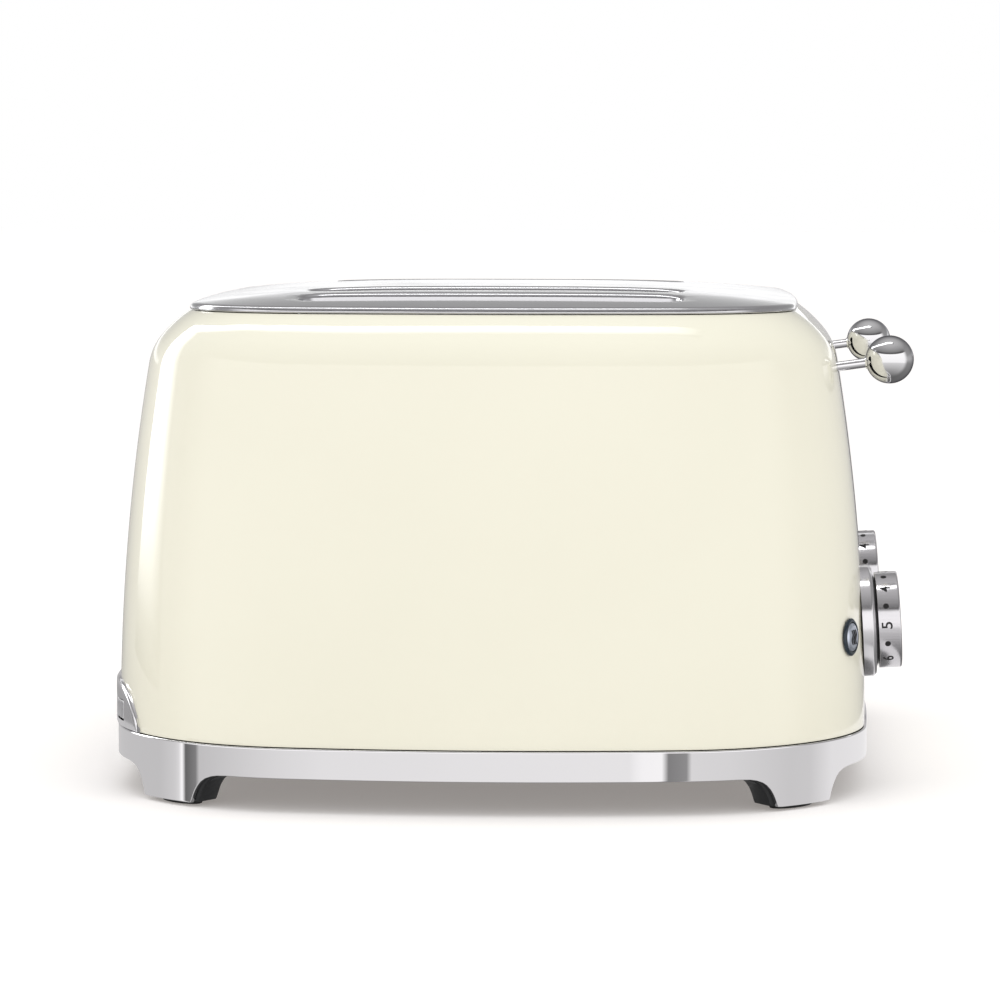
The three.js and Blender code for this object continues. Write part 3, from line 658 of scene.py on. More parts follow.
def add(name, shape, look, stands_for=None, place=None, body="housing", sharp=38.0,
        normals=None):
    """Adds a (points, faces) shape in millimetres as a smooth piece that rides on a CAD body.

    Edges over sharp degrees stay crisp, unless there is a normal for each corner. stands_for is
    the CAD node it replaces."""
    points, faces = shape
    if place is not None:
        points = turn_to(points, place)
    mesh = bpy.data.meshes.new(name)
    placed = (np.asarray(points, float) + CENTRE) * MM
    mesh.from_pydata(placed.tolist(), [], [list(map(int, f)) for f in faces])
    mesh.polygons.foreach_set("use_smooth", [True] * len(mesh.polygons))
    if normals is not None:
        mesh.normals_split_custom_set(normals.tolist())
    else:
        mesh.set_sharp_from_angle(angle=math.radians(sharp))
    mesh.update()
    material, usual_slot = LOOKS[look]
    mesh.materials.append(material)
    piece = bpy.data.objects.new(name, mesh)
    bpy.context.scene.collection.objects.link(piece)
    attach(piece, body)
    if stands_for:
        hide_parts(stands_for)
    return piece


# ---------- outer shell ----------


def make_shell():
    """The enamelled body: one sheet cut for the levers and trays, rolled up and welded at +Y."""
    holes = []
    for y in BANKS.values():
        window = rounded_rectangle(y - LEVER_SLOT_HALF, y + LEVER_SLOT_HALF, *LEVER_SLOT_Z, 3.4, 8)
        holes.append(to_shell(resampled(window, 2.0), 1))
    for y in BANKS.values():
        window = rounded_rectangle(*tray_window(y), 1.2, 8)
        holes.append(to_shell(resampled(window, 2.0), -1))
    dense = np.interp(outline_angles(34, 34, 26), FINE, ARC)
    arcs = np.unique(np.round(np.append(dense, [0, AROUND]), 6))
    wall_run, lip_run, last_run = SECTION_RUN[[WALL_ROWS - 1, -LIP_ROWS, -1]]
    runs = np.concatenate([np.linspace(0, wall_run, 32, endpoint=False),
                           np.linspace(wall_run, lip_run, 18, endpoint=False),
                           SECTION_RUN[-LIP_ROWS:]])
    grid = grid_of(arcs, runs)
    inner = (grid > 1e-6).all(axis=1) & (grid < np.array([AROUND, last_run]) - 1e-6).all(axis=1)
    sides = runs[1:-1]
    border = np.concatenate([level(arcs, 0), level(sides, AROUND)[:, ::-1],
                             level(arcs[::-1], last_run), level(sides[::-1], 0)[:, ::-1]])
    flat, faces = mesh_sheet(border, holes, grid[inner], 1.0)
    points, normals = on_shell(flat[:, 0], flat[:, 1])
    points, normals, faces = weld(points, normals, faces)
    faces = faces_follow(points, normals, faces)
    points, faces, corner_normals = thickened(points, normals, faces, SKIN)
    add("body_shell", (points, faces), "enamel", "outer_shell", normals=corner_normals)


# ---------- top plate ----------


def slot_outline(y, extra=0.0):
    half_x, half_y = SLOT_LENGTH / 2 + extra, SLOT_WIDTH / 2 + extra
    return rounded_rectangle(-half_x, half_x, y - half_y, y + half_y, SLOT_CORNER + extra, 10)


def distance_to_slot(points, y):
    """Distance from flat points to the edge of the slot centred at y."""
    half = np.array([SLOT_LENGTH / 2 - SLOT_CORNER, SLOT_WIDTH / 2 - SLOT_CORNER])
    away = np.abs(points - np.array([0, y])) - half
    outside = np.linalg.norm(np.maximum(away, 0), axis=1)
    return outside + np.minimum(away.max(axis=1), 0) - SLOT_CORNER


def edge_drop(radius, gap):
    """How far a surface rolls down at a gap from an edge that is rounded with this radius."""
    return radius - np.sqrt(np.maximum(radius**2 - np.maximum(radius - gap, 0) ** 2, 0))


def dome_height(points, inset):
    """Height of the top plate over flat points that lie at an inset from the rim."""
    rim = plan(outline_angles(60, 60, 60), RIM_INSET)
    rim_angles = np.arctan2(rim[:, 1], rim[:, 0])
    order = np.argsort(rim_angles)
    rim_reach = np.linalg.norm(rim[order], axis=1)
    angles = np.arctan2(points[:, 1], points[:, 0])
    reach = np.interp(angles, rim_angles[order], rim_reach, period=2 * math.pi)
    scale = np.clip(np.linalg.norm(points, axis=1) / reach, 0, 1)
    height = RIM_TOP + DOME_RISE * (1 - scale**DOME_POWER) - edge_drop(RIM_EDGE_R, inset)
    for y in SLOT_CENTRES:
        height -= edge_drop(SLOT_EDGE_R, np.maximum(distance_to_slot(points, y), 0))
    return height


def make_top():
    angles = outline_angles(24, 24, 20)
    border = plan(angles, RIM_INSET)
    turns = RIM_EDGE_R * EDGE_STEPS
    rings = [plan(angles, RIM_INSET + t) for t in (*turns, 4.0)]
    holes = [resampled(slot_outline(y), 4.0) for y in SLOT_CENTRES]
    slot_rings = [resampled(slot_outline(y, SLOT_EDGE_R * t), 4.0)
                  for y in SLOT_CENTRES for t in EDGE_STEPS]
    grid = grid_of(np.arange(-130, 130.1, 5.0), np.arange(-170, 170.1, 5.0))
    grid = grid[inside_polygon(grid, rings[-1])]
    for y in SLOT_CENTRES:
        grid = grid[~inside_polygon(grid, slot_outline(y, SLOT_EDGE_R))]
    flat, faces = mesh_sheet(border, holes, grid, 2.0, rings + slot_rings)
    edge_gap = np.full(len(flat), RIM_EDGE_R)
    edge_gap[: len(border)] = 0
    for k, t in enumerate(turns):
        start = len(border) + sum(len(h) for h in holes) + k * len(angles)
        edge_gap[start : start + len(angles)] = t
    points = level(flat, dome_height(flat, edge_gap))
    faces = faces_follow(points, level(0 * flat, 1), faces).tolist()
    # skirts: the points they hang from, the [inset, height] of their rings, and the way inwards
    skirts = [(np.arange(len(border)),
               [(0.0, RIM_BOTTOM + 0.3), (0.3, RIM_BOTTOM), (5.0, RIM_BOTTOM)], 1)]
    at = len(border)
    for hole in holes:
        skirts.append((np.arange(at, at + len(hole)), [(0.0, 197.0), (0.0, 190.5), (-0.4, 190.0)], -1))
        at += len(hole)
    rows, start = [points], len(points)
    for loop, steps, sign in skirts:
        previous = loop
        for inset, z in steps:
            rows.append(level(shrink(flat[loop], inset * sign), z))
            fresh = np.arange(start, start + len(loop))
            for i in range(len(loop)):
                j = (i + 1) % len(loop)
                faces.append([previous[i], previous[j], fresh[j], fresh[i]])
            previous = fresh
            start += len(loop)
    piece = add("top_cover", (np.vstack(rows), faces), "top", "top_plate", sharp=50)
    shape = bmesh.new()
    shape.from_mesh(piece.data)
    bmesh.ops.recalc_face_normals(shape, faces=shape.faces)
    shape.to_mesh(piece.data)
    shape.free()
    solid = piece.modifiers.new("wall", "SOLIDIFY")
    solid.thickness = SHEET_STEEL * MM
    solid.offset = -1


# ---------- base ring, trim and pan ----------

# a base edge's height as it rises from a foot into an arch, by the distance past the foot's edge
ARCH_HEIGHTS = np.array([1.8, 2.3, 3.4, 5.0, 7.0, 9.0, 10.8, 12.2, 13.2, 13.75, 14.0])
ARCH_REACH = np.array([0.0, -0.25, -0.6, -1.1, -1.9, -3.0, -4.4, -6.2, -8.6, -11.2, -15.5])
# the feet start at these distances from the middles of the long sides (X) and the ends (Y)
ARCHES = ((0, 117.5), (1, 156.5))


def edge_height(angle, wider=0.0, inset=0.0):
    """Lower edge of the base ring: low on the corner feet, high on the arches between them."""
    xy = plan(angle, inset)
    past = [wider - half + np.abs(xy[..., axis]) for axis, half in ARCHES]
    return np.maximum(*(np.interp(p, ARCH_REACH[::-1], ARCH_HEIGHTS[::-1]) for p in past))


def edge_angles(step=3.0):
    """Directions round the outline, with extra ones where the feet rise into the arches."""
    angles = [angle_at(np.arange(0, AROUND, step))]
    xy = plan(FINE, 0)
    for axis, half in ARCHES:
        for reach in ARCH_REACH:
            offset = np.abs(xy[:, axis]) - (half + reach)
            angles.append(FINE[np.nonzero(np.diff(np.sign(offset)))[0]])
    return np.unique(np.round(np.concatenate(angles), 5))


def make_base_ring():
    angles = edge_angles()
    lower = edge_height(angles)
    outer, inner, bottom_r, top_r, support = -1.0, 1.0, 0.4, 0.55, 0.25
    # inset, share of the height from the lower edge, and a fixed rise
    section = [(inner, 0, 0)]
    for a in np.radians((90, 60, 30, 0)):
        section.append((outer + bottom_r * (1 - math.cos(a)), 0, bottom_r * (1 - math.sin(a))))
    section += [(outer, 0, bottom_r + support), (outer, 0.35, 0), (outer, 0.7, 0),
                (outer, 1, -top_r - support)]
    for a in np.radians((0, 22, 45, 68, 90)):
        section.append((outer + top_r * (1 - math.cos(a)), 1, -top_r * (1 - math.sin(a))))
    section.append((inner, 1, 0))
    rings = [level(plan(angles, inset), lower + (BASE_TOP - lower) * share + rise)
             for inset, share, rise in section]
    add("base_trim_ring", loft(rings, closed=True), "chrome", "base_ring", sharp=50)


def bezier(points, count=22):
    p0, p1, p2, p3 = map(np.array, points)
    t = np.linspace(0, 1, count, endpoint=False)[:, None]
    return (1 - t) ** 3 * p0 + 3 * (1 - t) ** 2 * t * p1 + 3 * (1 - t) * t**2 * p2 + t**3 * p3


def make_rear_trim():
    """The raised band on the -X end: a curved sheet with two tray windows and a cord hole."""
    bottom, top, proud = BASE_TOP + 0.3, 46.0, 1.6
    foot, shoulder, cord_hole = 153.0, 116.0, 5.6
    right = bezier([(foot, bottom), (foot - 5, top - 6), (foot - 12, top), (shoulder, top)])
    left = bezier([(-shoulder, top), (-foot + 12, top), (-foot + 5, top - 6), (-foot, bottom)])
    shape = resampled(np.vstack([right, left, [(-foot, bottom)]]), 2.5)
    holes = [resampled(rounded_rectangle(*tray_window(y, 0.4), 1.0), 2.5) for y in BANKS.values()]
    gland_low, gland_high = mm_box("cord_gland")
    holes.append(oval(cord_hole, cord_hole, 32) + [0, (gland_low[2] + gland_high[2]) / 2])
    grid = grid_of(np.arange(-152, 152.1, 2.5), np.arange(bottom + 2, top, 2.2))
    flat, faces = mesh_sheet(shape, holes, grid, 1.2, [shrink(shape, d) for d in (0.45, 1.2)])
    # the outer edge rolls back towards the wall
    drop = np.zeros(len(flat))
    drop[: len(shape)] = 0.8
    start = len(shape) + sum(map(len, holes))
    drop[start : start + len(shape)] = 0.2
    angles = angle_on_end(flat[:, 0], -1, -proud)
    points = level(plan(angles, -proud + drop), flat[:, 1])
    normals = np.column_stack([np.cos(angles), np.sin(angles), np.zeros(len(angles))])
    faces = faces_follow(points, normals, faces)
    points, faces, _ = thickened(points, normals, faces, SHEET_STEEL)
    add("rear_trim_band", (points, faces), "trim", "rear_trim", sharp=40)


PAN_INSET, PAN_BOTTOM = 1.3, 15.0


def pan_floor(angles):
    """The base's flat floor, with four vents under each bank."""
    vents = [resampled(rounded_rectangle(-45, 45, y + offset - 3, y + offset + 3, 2.5, 5), 6)
             for y in BANKS.values() for offset in (-30, -10, 10, 30)]
    grid = grid_of(np.arange(-155, 155, 9.0), np.arange(-195, 195, 9.0))
    flat, faces = mesh_sheet(plan(angles, PAN_INSET), vents, grid, 2.5)
    points, down = level(flat, PAN_BOTTOM), level(0 * flat, -1)
    return thickened(points, down, faces_follow(points, down, faces), 3.0)[:2]


def foot_blocks(angles):
    """A block inside each corner of the base ring, where the ring's edge runs down to a foot."""
    low = edge_height(angles, 2.6, PAN_INSET)
    feet = low < 14.0
    depth, top, edge = 13, 15.5, 0.7
    sections = [(PAN_INSET, edge), (PAN_INSET + edge, 0), (depth - edge, 0), (depth, edge)]
    blocks = []
    for start in np.nonzero(feet & ~np.roll(feet, 1))[0]:
        count = 0
        while feet[(start + count) % len(angles)]:
            count += 1
        picked = [(start - 1 + i) % len(angles) for i in range(count + 2)]
        arc, height = angles[picked], np.maximum(low[picked], 2.0)
        rings = [level(plan(arc, inset), height + rise) for inset, rise in sections]
        rings += [level(plan(arc, inset), top) for inset in (depth, PAN_INSET)]
        rows, columns = len(rings), len(arc)
        faces = grid_faces(rows, columns, wrap_rows=True, wrap_columns=False)
        faces += [[r * columns + end for r in range(rows)] for end in (0, columns - 1)]
        points = np.concatenate(rings)
        blocks.append((points, face_out(points, faces)))
    return blocks


def make_base_pan():
    """Black moulded base: a floor with vents, foot blocks, ribs beside the trays and bosses."""
    angles = edge_angles(4.0)
    shape = join_shapes([pan_floor(angles), *foot_blocks(angles)])
    add("base_moulding", shape, "black", "base_pan", sharp=35)
    boss_profile = [(17.5, 0), (17.5, 7), (40, 7), (40, 3.3), (38, 3.3), (38, 0)]
    boss = turned(filleted(boss_profile, 0.5), 32)
    ribs = []
    for y in BANKS.values():
        for offset in (25.5, 132.5):
            at = np.sign(y) * offset
            ribs.append(rounded_box(-135, 80, at - 1.5, at + 1.5, 17.5, 29.7, 0.4))
        ribs.append((turn_to(boss[0], standing(GUIDE_X, y)), boss[1]))
    add("base_ribs", join_shapes(ribs), "black")
    make_screws()


def screw():
    """A pan-head screw about +X with a cross recess, its head's underside at x = 0."""
    head = turned([(-1.0, 0), (-1.0, 1.2), (0, 1.2), (0, 3.0), (0.4, 3.1), (1.0, 2.8),
                   (1.5, 2.0), (1.75, 1.0), (1.8, 0)], 32)
    points, faces = rounded_box(1.76, 1.9, -1.5, 1.5, -0.3, 0.3, 0.05)
    arms = [(turn_to(points, Matrix.Rotation(a, 4, "X")), faces) for a in (0, math.pi / 2)]
    return head, join_shapes(arms)


def make_screws():
    """Eight screws under the base, four along each long side of the middle."""
    places = [Matrix.Translation((x, y, PAN_BOTTOM)) @ Matrix.Rotation(math.pi / 2, 4, "Y")
              for x in (-118, 118) for y in (-120, -60, 60, 120)]
    names = (("base_screws", "wire"), ("base_screw_slots", "ink"))
    for (name, look), (points, faces) in zip(names, screw()):
        add(name, join_shapes([(turn_to(points, down), faces) for down in places]), look)


def make_feet():
    """Oval pads, turned to face out of their corners."""
    for name, degrees in (("front_right", -45), ("rear_right", 45), ("rear_left", 135),
                          ("front_left", -135)):
        low, high = mm_box(f"foot_pad_{name}")
        x, y, _ = (low + high) / 2
        turn = Matrix.Rotation(math.radians(degrees), 4, "Z")
        add(f"pad_{name}", slab(oval(5.5, 11.0, 48), 0.0, high[2], 0.5), "rubber",
            f"foot_pad_{name}", Matrix.Translation((x, y, 0)) @ turn)


# ---------- controls ----------

DIAL_R, DIAL_BACK, DIAL_FACE = 20.0, 5.6, 15.0
NUMERAL_X, NUMERAL_TALL, NUMERAL_WIDE = 9.1, 4.5, 2.9
NUMERAL_START, NUMERAL_STEP = -183.1, 46.0
# [y, z, half width, half depth, height] of the components on the control board
BOARD_PARTS = [(-20, -20, 5, 5, 9), (-18, 4, 4, 3, 6), (2, -24, 9, 4, 5), (20, -16, 4, 4, 11),
               (20, 2, 3, 5, 4), (-6, -14, 2, 1, 2), (8, -14, 2, 1, 2)]


def dial_frame(bank):
    """A matrix at a dial's centre on the wall, with +X along its axis."""
    joint = JOINTS[f"dial_turn_{bank}"]
    return along(joint["axis"], np.array(joint["pos_m"]) / MM - CENTRE)


def button_frame(bank, side):
    """A matrix where a button's axis leaves the wall, with +X along that axis."""
    axis = JOINTS[f"button_press_{bank}_{side}"]["axis"]
    out = np.array(axis) * (-1 if axis[0] < 0 else 1)
    z = BASE_TOP + WALL_CROWN_R * math.sin(math.asin(out[2]))
    x, y = plan(math.atan2(out[1], out[0]), wall_inset(z))
    return along(out, (x, y, z))


def glyph(text):
    """A digit as flat points and triangles, centred, sized and cut fine enough to bend."""
    curve = bpy.data.curves.new("digit", "FONT")
    curve.body = text
    curve.offset = 0.012
    holder = bpy.data.objects.new("digit", curve)
    mesh = bpy.data.meshes.new_from_object(holder)
    shape = bmesh.new()
    shape.from_mesh(mesh)
    xs = [v.co.x for v in shape.verts]
    ys = [v.co.y for v in shape.verts]
    middle = Vector(((min(xs) + max(xs)) / 2, (min(ys) + max(ys)) / 2, 0))
    tall = max(ys) - min(ys)
    wide = max(max(xs) - min(xs), 0.4 * tall)
    for v in shape.verts:
        v.co = (v.co - middle) * Vector((NUMERAL_WIDE / wide, NUMERAL_TALL / tall, 0))
    for cut in np.arange(-1.2, 1.3, 0.4):
        geom = shape.verts[:] + shape.edges[:] + shape.faces[:]
        bmesh.ops.bisect_plane(shape, geom=geom, plane_co=(cut, 0, 0), plane_no=(1, 0, 0))
    bmesh.ops.triangulate(shape, faces=shape.faces)
    shape.verts.index_update()
    points = np.array([v.co[:] for v in shape.verts])
    faces = [[v.index for v in f.verts] for f in shape.faces]
    shape.free()
    bpy.data.objects.remove(holder)
    bpy.data.curves.remove(curve)
    bpy.data.meshes.remove(mesh)
    return points, faces


def dot(radius, count=24):
    points = np.vstack([[0, 0, 0], level(oval(radius, radius, count), 0)])
    return points, [[0, i + 1, (i + 1) % count + 1] for i in range(count)]


def wrapped(flat, degrees, raised=0.06, sunk=0.1):
    """Prints a flat shape on the dial's side: its top points to the wall, its right side up."""
    points, faces = flat
    angle = math.radians(degrees) - points[:, 0] / DIAL_R
    layers = [np.column_stack([NUMERAL_X - points[:, 1], -r * np.cos(angle), -r * np.sin(angle)])
              for r in (DIAL_R + raised, DIAL_R - sunk)]
    count = len(points)
    solid = [list(f) for f in faces] + [[i + count for i in f[::-1]] for f in faces]
    solid += [[b, a, a + count, b + count] for a, b in open_edges(faces)]
    points = np.vstack(layers)
    return points, face_out(points, solid)


def dial_print():
    """The numerals 1 to 6, with a dot between each two."""
    marks = []
    for k in range(6):
        at = NUMERAL_START + NUMERAL_STEP * k
        marks.append(wrapped(glyph(str(k + 1)), at))
        if k < 5:
            marks.append(wrapped(dot(1.2), at + NUMERAL_STEP / 2))
    return join_shapes(marks)


def make_dials():
    bezel = filleted(
        [(-1.0, 6), (-1.0, 23.2), (3.2, 23.2), (4.4, 22.0), (4.4, 19.4), (2.6, 19.4), (2.6, 6)],
        [0, 0, 0.8, 0.8, 0.4, 0.3, 0], 5, closed=True,
    )
    # a black disc behind the knob's rim, so that the gap between bezel and knob shows as a wider dark
    # line: painted shade in the gap
    gap_shade_disc = [(2.8, 3.4), (2.8, 19.0), (4.9, 19.0), (4.9, 18.2), (5.3, 18.2), (5.3, 3.4)]
    knob = filleted(
        [(4.9, 0), (4.9, 3), (DIAL_BACK, 3), (DIAL_BACK, DIAL_R), (DIAL_FACE, DIAL_R),
         (DIAL_FACE, 17.2), (DIAL_FACE - 0.5, 16.8), (DIAL_FACE - 0.5, 9.8),
         (DIAL_FACE - 4, 9.7), (DIAL_FACE - 4, 0)],
        [0, 0, 0, 0.3, 0.9, 0.3, 0.2, 0.3, 0, 0], 6,
    )
    stop = filleted(
        [(12.6, 0), (12.6, 9.2), (15.0, 9.2), (15.4, 7.6), (15.6, 3.0), (15.6, 0)],
        [0, 0, 0.5, 2.0, 3.0, 0], 5,
    )
    spindle = [(-14, 0), (-14, 3), (5.4, 3), (5.4, 0)]
    square = rounded_box(15.5, 15.72, -1.9, 1.9, -1.9, 1.9, 0.05, 0.4)
    index = rounded_box(3.6, 4.55, -0.5, 0.5, 20.0, 21.8, 0.1, 0.3)
    for bank in BANKS:
        place = dial_frame(bank)
        add(f"bezel_{bank}", turned(bezel, 160), "bezel", f"dial_bezel_{bank}", place)
        add(f"dial_index_{bank}", index, "ink", None, place)
        # the dark disc in the gap between bezel and knob is painted shade
        add(f"dial_washer_{bank}", turned(gap_shade_disc, 96), "black", None, place)
        body = f"dial_{bank}"
        add(f"knob_{bank}", turned(knob, 160), "dial", body, place, body, sharp=30)
        add(f"spindle_{bank}", turned(spindle, 32), "wire", None, place, body)
        add(f"dial_print_{bank}", dial_print(), "ink", None, place, body)
        body = f"stop_button_{bank}"
        add(f"stop_cap_{bank}", turned(stop, 96), "dial", body, place, body)
        add(f"stop_symbol_{bank}", square, "ink", None, place, body)
        make_dial_inside(bank, place)


def make_dial_inside(bank, place):
    """The browning control and the board that carries it, behind the wall."""
    can = filleted([(-24, 0), (-24, 10), (-6, 10), (-6, 3.3), (-14.3, 3.3), (-14.3, 0)], 0.5)
    add(f"control_can_{bank}", turned(can, 48), "black", f"browning_control_{bank}", place)
    plate = rounded_box(-26.2, -24.6, -30, 30, -34, 16, 0.1, 0.1)
    parts = [rounded_box(-24.7, -24.7 + h, y - w, y + w, z - d, z + d, 0.3)
             for y, z, w, d, h in BOARD_PARTS]
    add(f"board_{bank}", plate, "board", f"control_board_{bank}", place)
    add(f"board_parts_{bank}", join_shapes(parts), "black", None, place)


def wave(y, reach=2.9, count=21):
    """One line of the heat symbol on a button's face, at a distance y from its middle."""
    t = np.linspace(-1, 1, count)
    return np.column_stack([2.18 - 0.03 * y * y - 0.1 * t * t,
                            y + 0.55 * np.sin(t * math.pi * 1.25), reach * t])


def star(reach=2.9):
    """The three crossed lines of the frozen symbol on a button's face."""
    arms = []
    lift = np.array([2.06, 0, 0])
    for a in np.arange(3) * math.pi / 3:
        tip = reach * np.array([0, math.cos(a), math.sin(a)])
        arms.append(tube([lift - tip, lift + [0.14, 0, 0], lift + tip], 0.22, 8))
    return join_shapes(arms)


def make_buttons():
    ring = filleted(
        [(-4, 6.1), (-4, 6.7), (0.3, 6.7), (0.3, 7.7), (0.9, 7.7), (1.5, 6.9), (1.5, 6.1)],
        [0, 0, 0, 0, 0.3, 0.3, 0.15], 4, closed=True,
    )
    cap = filleted([(-5, 0), (-5, 5.8), (1.4, 5.8), (2.05, 4.6), (2.2, 0)], [0, 0, 0.3, 1.5, 0], 5)
    waves = join_shapes([tube(wave(y), 0.36, 8) for y in (-1.9, 0, 1.9)])
    for bank in BANKS:
        for side in SIDES:
            name = f"{bank}_{side}"
            place, body = button_frame(bank, side), f"button_{name}"
            inner = (side == "a") == (bank == "front")
            add(f"button_surround_{name}", turned(ring, 96), "ring", f"button_ring_{name}", place)
            add(f"button_cap_{name}", turned(cap, 72), "cap", body, place, body)
            add(f"button_symbol_{name}", waves if inner else star(), "ink", None, place, body)


# ---------- levers and lift ----------

LEVER_EXIT_X, LEVER_EXIT_Z, LEVER_TILT = 143.6, 174.4, math.radians(8)
BALL_R, BALL_AT = 10.0, (164.7 - LEVER_EXIT_X) / math.cos(LEVER_TILT)
GUIDE_X = 112.0


def make_levers():
    neck_angle = 0.2
    ball = [(BALL_AT - 9.0, 0), (BALL_AT - 9.0, BALL_R * math.sin(neck_angle))]
    ball += [(BALL_AT + BALL_R * math.cos(a), max(BALL_R * math.sin(a), 0))
             for a in np.linspace(math.pi - neck_angle, 0, 48)]
    rod = filleted([(-23, 0), (-23, 2.0), (17, 2.0), (17, 0)], 0.3)
    neck = filleted([(11.0, 1.9), (11.0, 2.3), (12.6, 3.2), (12.6, 1.9)], 0.15, closed=True)
    for bank, y in BANKS.items():
        place = Matrix.Translation((LEVER_EXIT_X, y, LEVER_EXIT_Z))
        place = place @ Matrix.Rotation(-LEVER_TILT, 4, "Y")
        body = f"carriage_{bank}"
        add(f"ball_{bank}", turned(ball, 96), "ball", f"lever_ball_{bank}", place, body)
        add(f"rod_{bank}", turned(rod, 40), "chrome", f"lever_rod_{bank}", place, body)
        add(f"ball_neck_{bank}", turned(neck, 48), "chrome", None, place, body)
        make_slot_liner(bank, y)
        make_carriage(bank, y, body)
        make_lift_inside(bank, y)


def make_slot_liner(bank, y):
    """A thin black lining inside the edge of the lever's slot, level with the wall."""
    outline = rounded_rectangle(y - LEVER_SLOT_HALF, y + LEVER_SLOT_HALF, *LEVER_SLOT_Z, 3.45, 8)
    outline = resampled(outline, 3.0)
    rings = []
    for grow, out in ((-0.1, 0.0), (-0.5, 0.05), (-0.8, -0.2), (-0.8, -3.0), (-0.1, -3.0)):
        points, normals = on_shell(*to_shell(shrink(outline, -grow), 1).T)
        rings.append(points + normals * out)
    add(f"slot_liner_{bank}", loft(rings, closed=True), "black")


def make_carriage(bank, y, body):
    """The sliding frame with two toothed bread supports, its slider block and its armature."""
    face = [(y - 29, 110), (y + 29, 110), (y + 29, 120), (y + 12, 120), (y + 12, 150),
            (y + 33, 150), (y + 33, 160), (y + 12, 160), (y + 10, 182), (y - 10, 182),
            (y - 10, 120), (y - 29, 120)]
    points, faces = slab(filleted(face, 2.0, closed=True), 98.0, 100.4, 0.3)
    parts = [(points[:, [2, 0, 1]], faces)]
    comb = [(-66, 2.6)]
    for x in np.arange(-66, 66, 12):
        comb += [(x + 1, 5.5), (x + 11, 5.5), (x + 11, 2.6), (x + 12, 2.6)]
    comb += [(px, -py) for px, py in comb[::-1]]
    for offset in (-SLOT_OFFSET, SLOT_OFFSET):
        at = y + offset
        parts.append(rounded_box(-91, 99, at - 1.2, at + 1.2, 110, 119, 0.3))
        ledge = np.array(comb) + [0, at]
        parts.append(slab(filleted(ledge[::-1], 0.4, 2, closed=True), 118.4, 119.9, 0.2))
    add(f"lift_frame_{bank}", join_shapes(parts), "zinc", body, body=body)
    block = rounded_box(100.4, 120, y - 9, y + 9, 158, 183.4, 0.8, 2.0)
    add(f"slider_{bank}", block, "black", body=body)
    plate = rounded_box(100.7, 122, y + 12, y + 34, 154.5, 157, 0.4, 2.0)
    add(f"armature_{bank}", plate, "dark", f"armature_plate_{bank}", body=body)


def make_lift_inside(bank, y):
    """Guide rod, return spring and hold-down magnet."""
    rod = filleted([(18.3, 0), (18.3, 3), (183.7, 3), (183.7, 0)], 0.5)
    add(f"guide_{bank}", turned(rod, 32), "chrome", f"guide_rod_{bank}", standing(GUIDE_X, y))
    low, high = mm_box(f"return_spring_{bank}")
    turns, coil_r, wire_r = 10, 5.2, 0.6
    t = np.linspace(0, 1, turns * 24 + 1)
    # the end turns lie close together and the rest are evenly open
    climb = np.interp(t, [0, 1 / turns, 1 - 1 / turns, 1], [0, 0.02, 0.98, 1])
    path = np.column_stack([GUIDE_X + coil_r * np.cos(t * turns * 2 * math.pi),
                            y + coil_r * np.sin(t * turns * 2 * math.pi),
                            low[2] + wire_r + climb * (high[2] - low[2] - 2 * wire_r)])
    spring = add(f"spring_{bank}", tube(path, wire_r, 10), "wire", f"return_spring_{bank}")
    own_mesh(spring)
    magnet = standing(GUIDE_X, y + 23)
    bobbin = filleted([(54.2, 0), (54.2, 8.6), (55.4, 8.6), (55.4, 6), (78.2, 6), (78.2, 8.6),
                       (79.4, 8.6), (79.4, 0)], 0.25)
    add(f"bobbin_{bank}", turned(bobbin, 48), "black", None, magnet)
    wound = [(55.5, 0)]
    for z in np.arange(55.5, 78.0, 0.75):
        wound += [(z + 0.375 - 0.3, 7.6), (z + 0.375, 8.0), (z + 0.375 + 0.3, 7.6)]
    wound.append((wound[-1][0] + 0.1, 0))
    add(f"winding_{bank}", turned(wound, 48), "winding", None, magnet)
    core, core_faces = turned(filleted([(53, 0), (53, 3.5), (81.6, 3.5), (81.6, 0)], 0.3), 32)
    yoke = rounded_box(103, 121, y + 13, y + 36, 50, 54, 0.4, 1.5)
    foot = rounded_box(89.8, 104, y + 31, y + 36, 50, 54, 0.4, 0.5)
    shape = join_shapes([(turn_to(core, magnet), core_faces), yoke, foot])
    add(f"magnet_yoke_{bank}", shape, "dark", f"electromagnet_{bank}")


# ---------- toast wells ----------


def make_guards():
    """Two wire grids for each slot, each with a closed frame, uprights and two cross wires."""
    end, low, high = 73, 51, 177
    frame_path = resampled(rounded_rectangle(-end, end, low, high, 5, 5), 12)
    z = np.linspace(low, high, 9)
    bow = 1.2 * np.sin((z - low) / (high - low) * math.pi) ** 0.5
    for bank, middle in BANKS.items():
        for side, way in SIDES.items():
            for edge, lean in (("near", -1), ("far", 1)):
                y = middle + way * SLOT_OFFSET + lean * 15.0
                wires = [tube(np.insert(frame_path, 1, y, axis=1), 0.9, 10, True)]
                for x in np.linspace(-end, end, 7)[1:-1]:
                    # each upright bows towards its heater between the two rails
                    upright = np.column_stack([np.full(9, x), y + lean * bow, z])
                    wires.append(tube(upright, 0.8, 8))
                for at in (93, 135):
                    cross = [(-end, y - lean * 0.6, at), (end, y - lean * 0.6, at)]
                    wires.append(tube(cross, 0.6, 8))
                name = f"{bank}_{side}_{edge}"
                add(f"wires_{name}", join_shapes(wires), "wire", f"bread_guard_{name}",
                    body=f"bread_guard_{name}")


def across(outline, low, high):
    """A slab of an outline drawn in X and Z, from one Y to another."""
    points, faces = slab(outline, low, high)
    points = points[:, [0, 2, 1]]
    return points, face_out(points, faces)


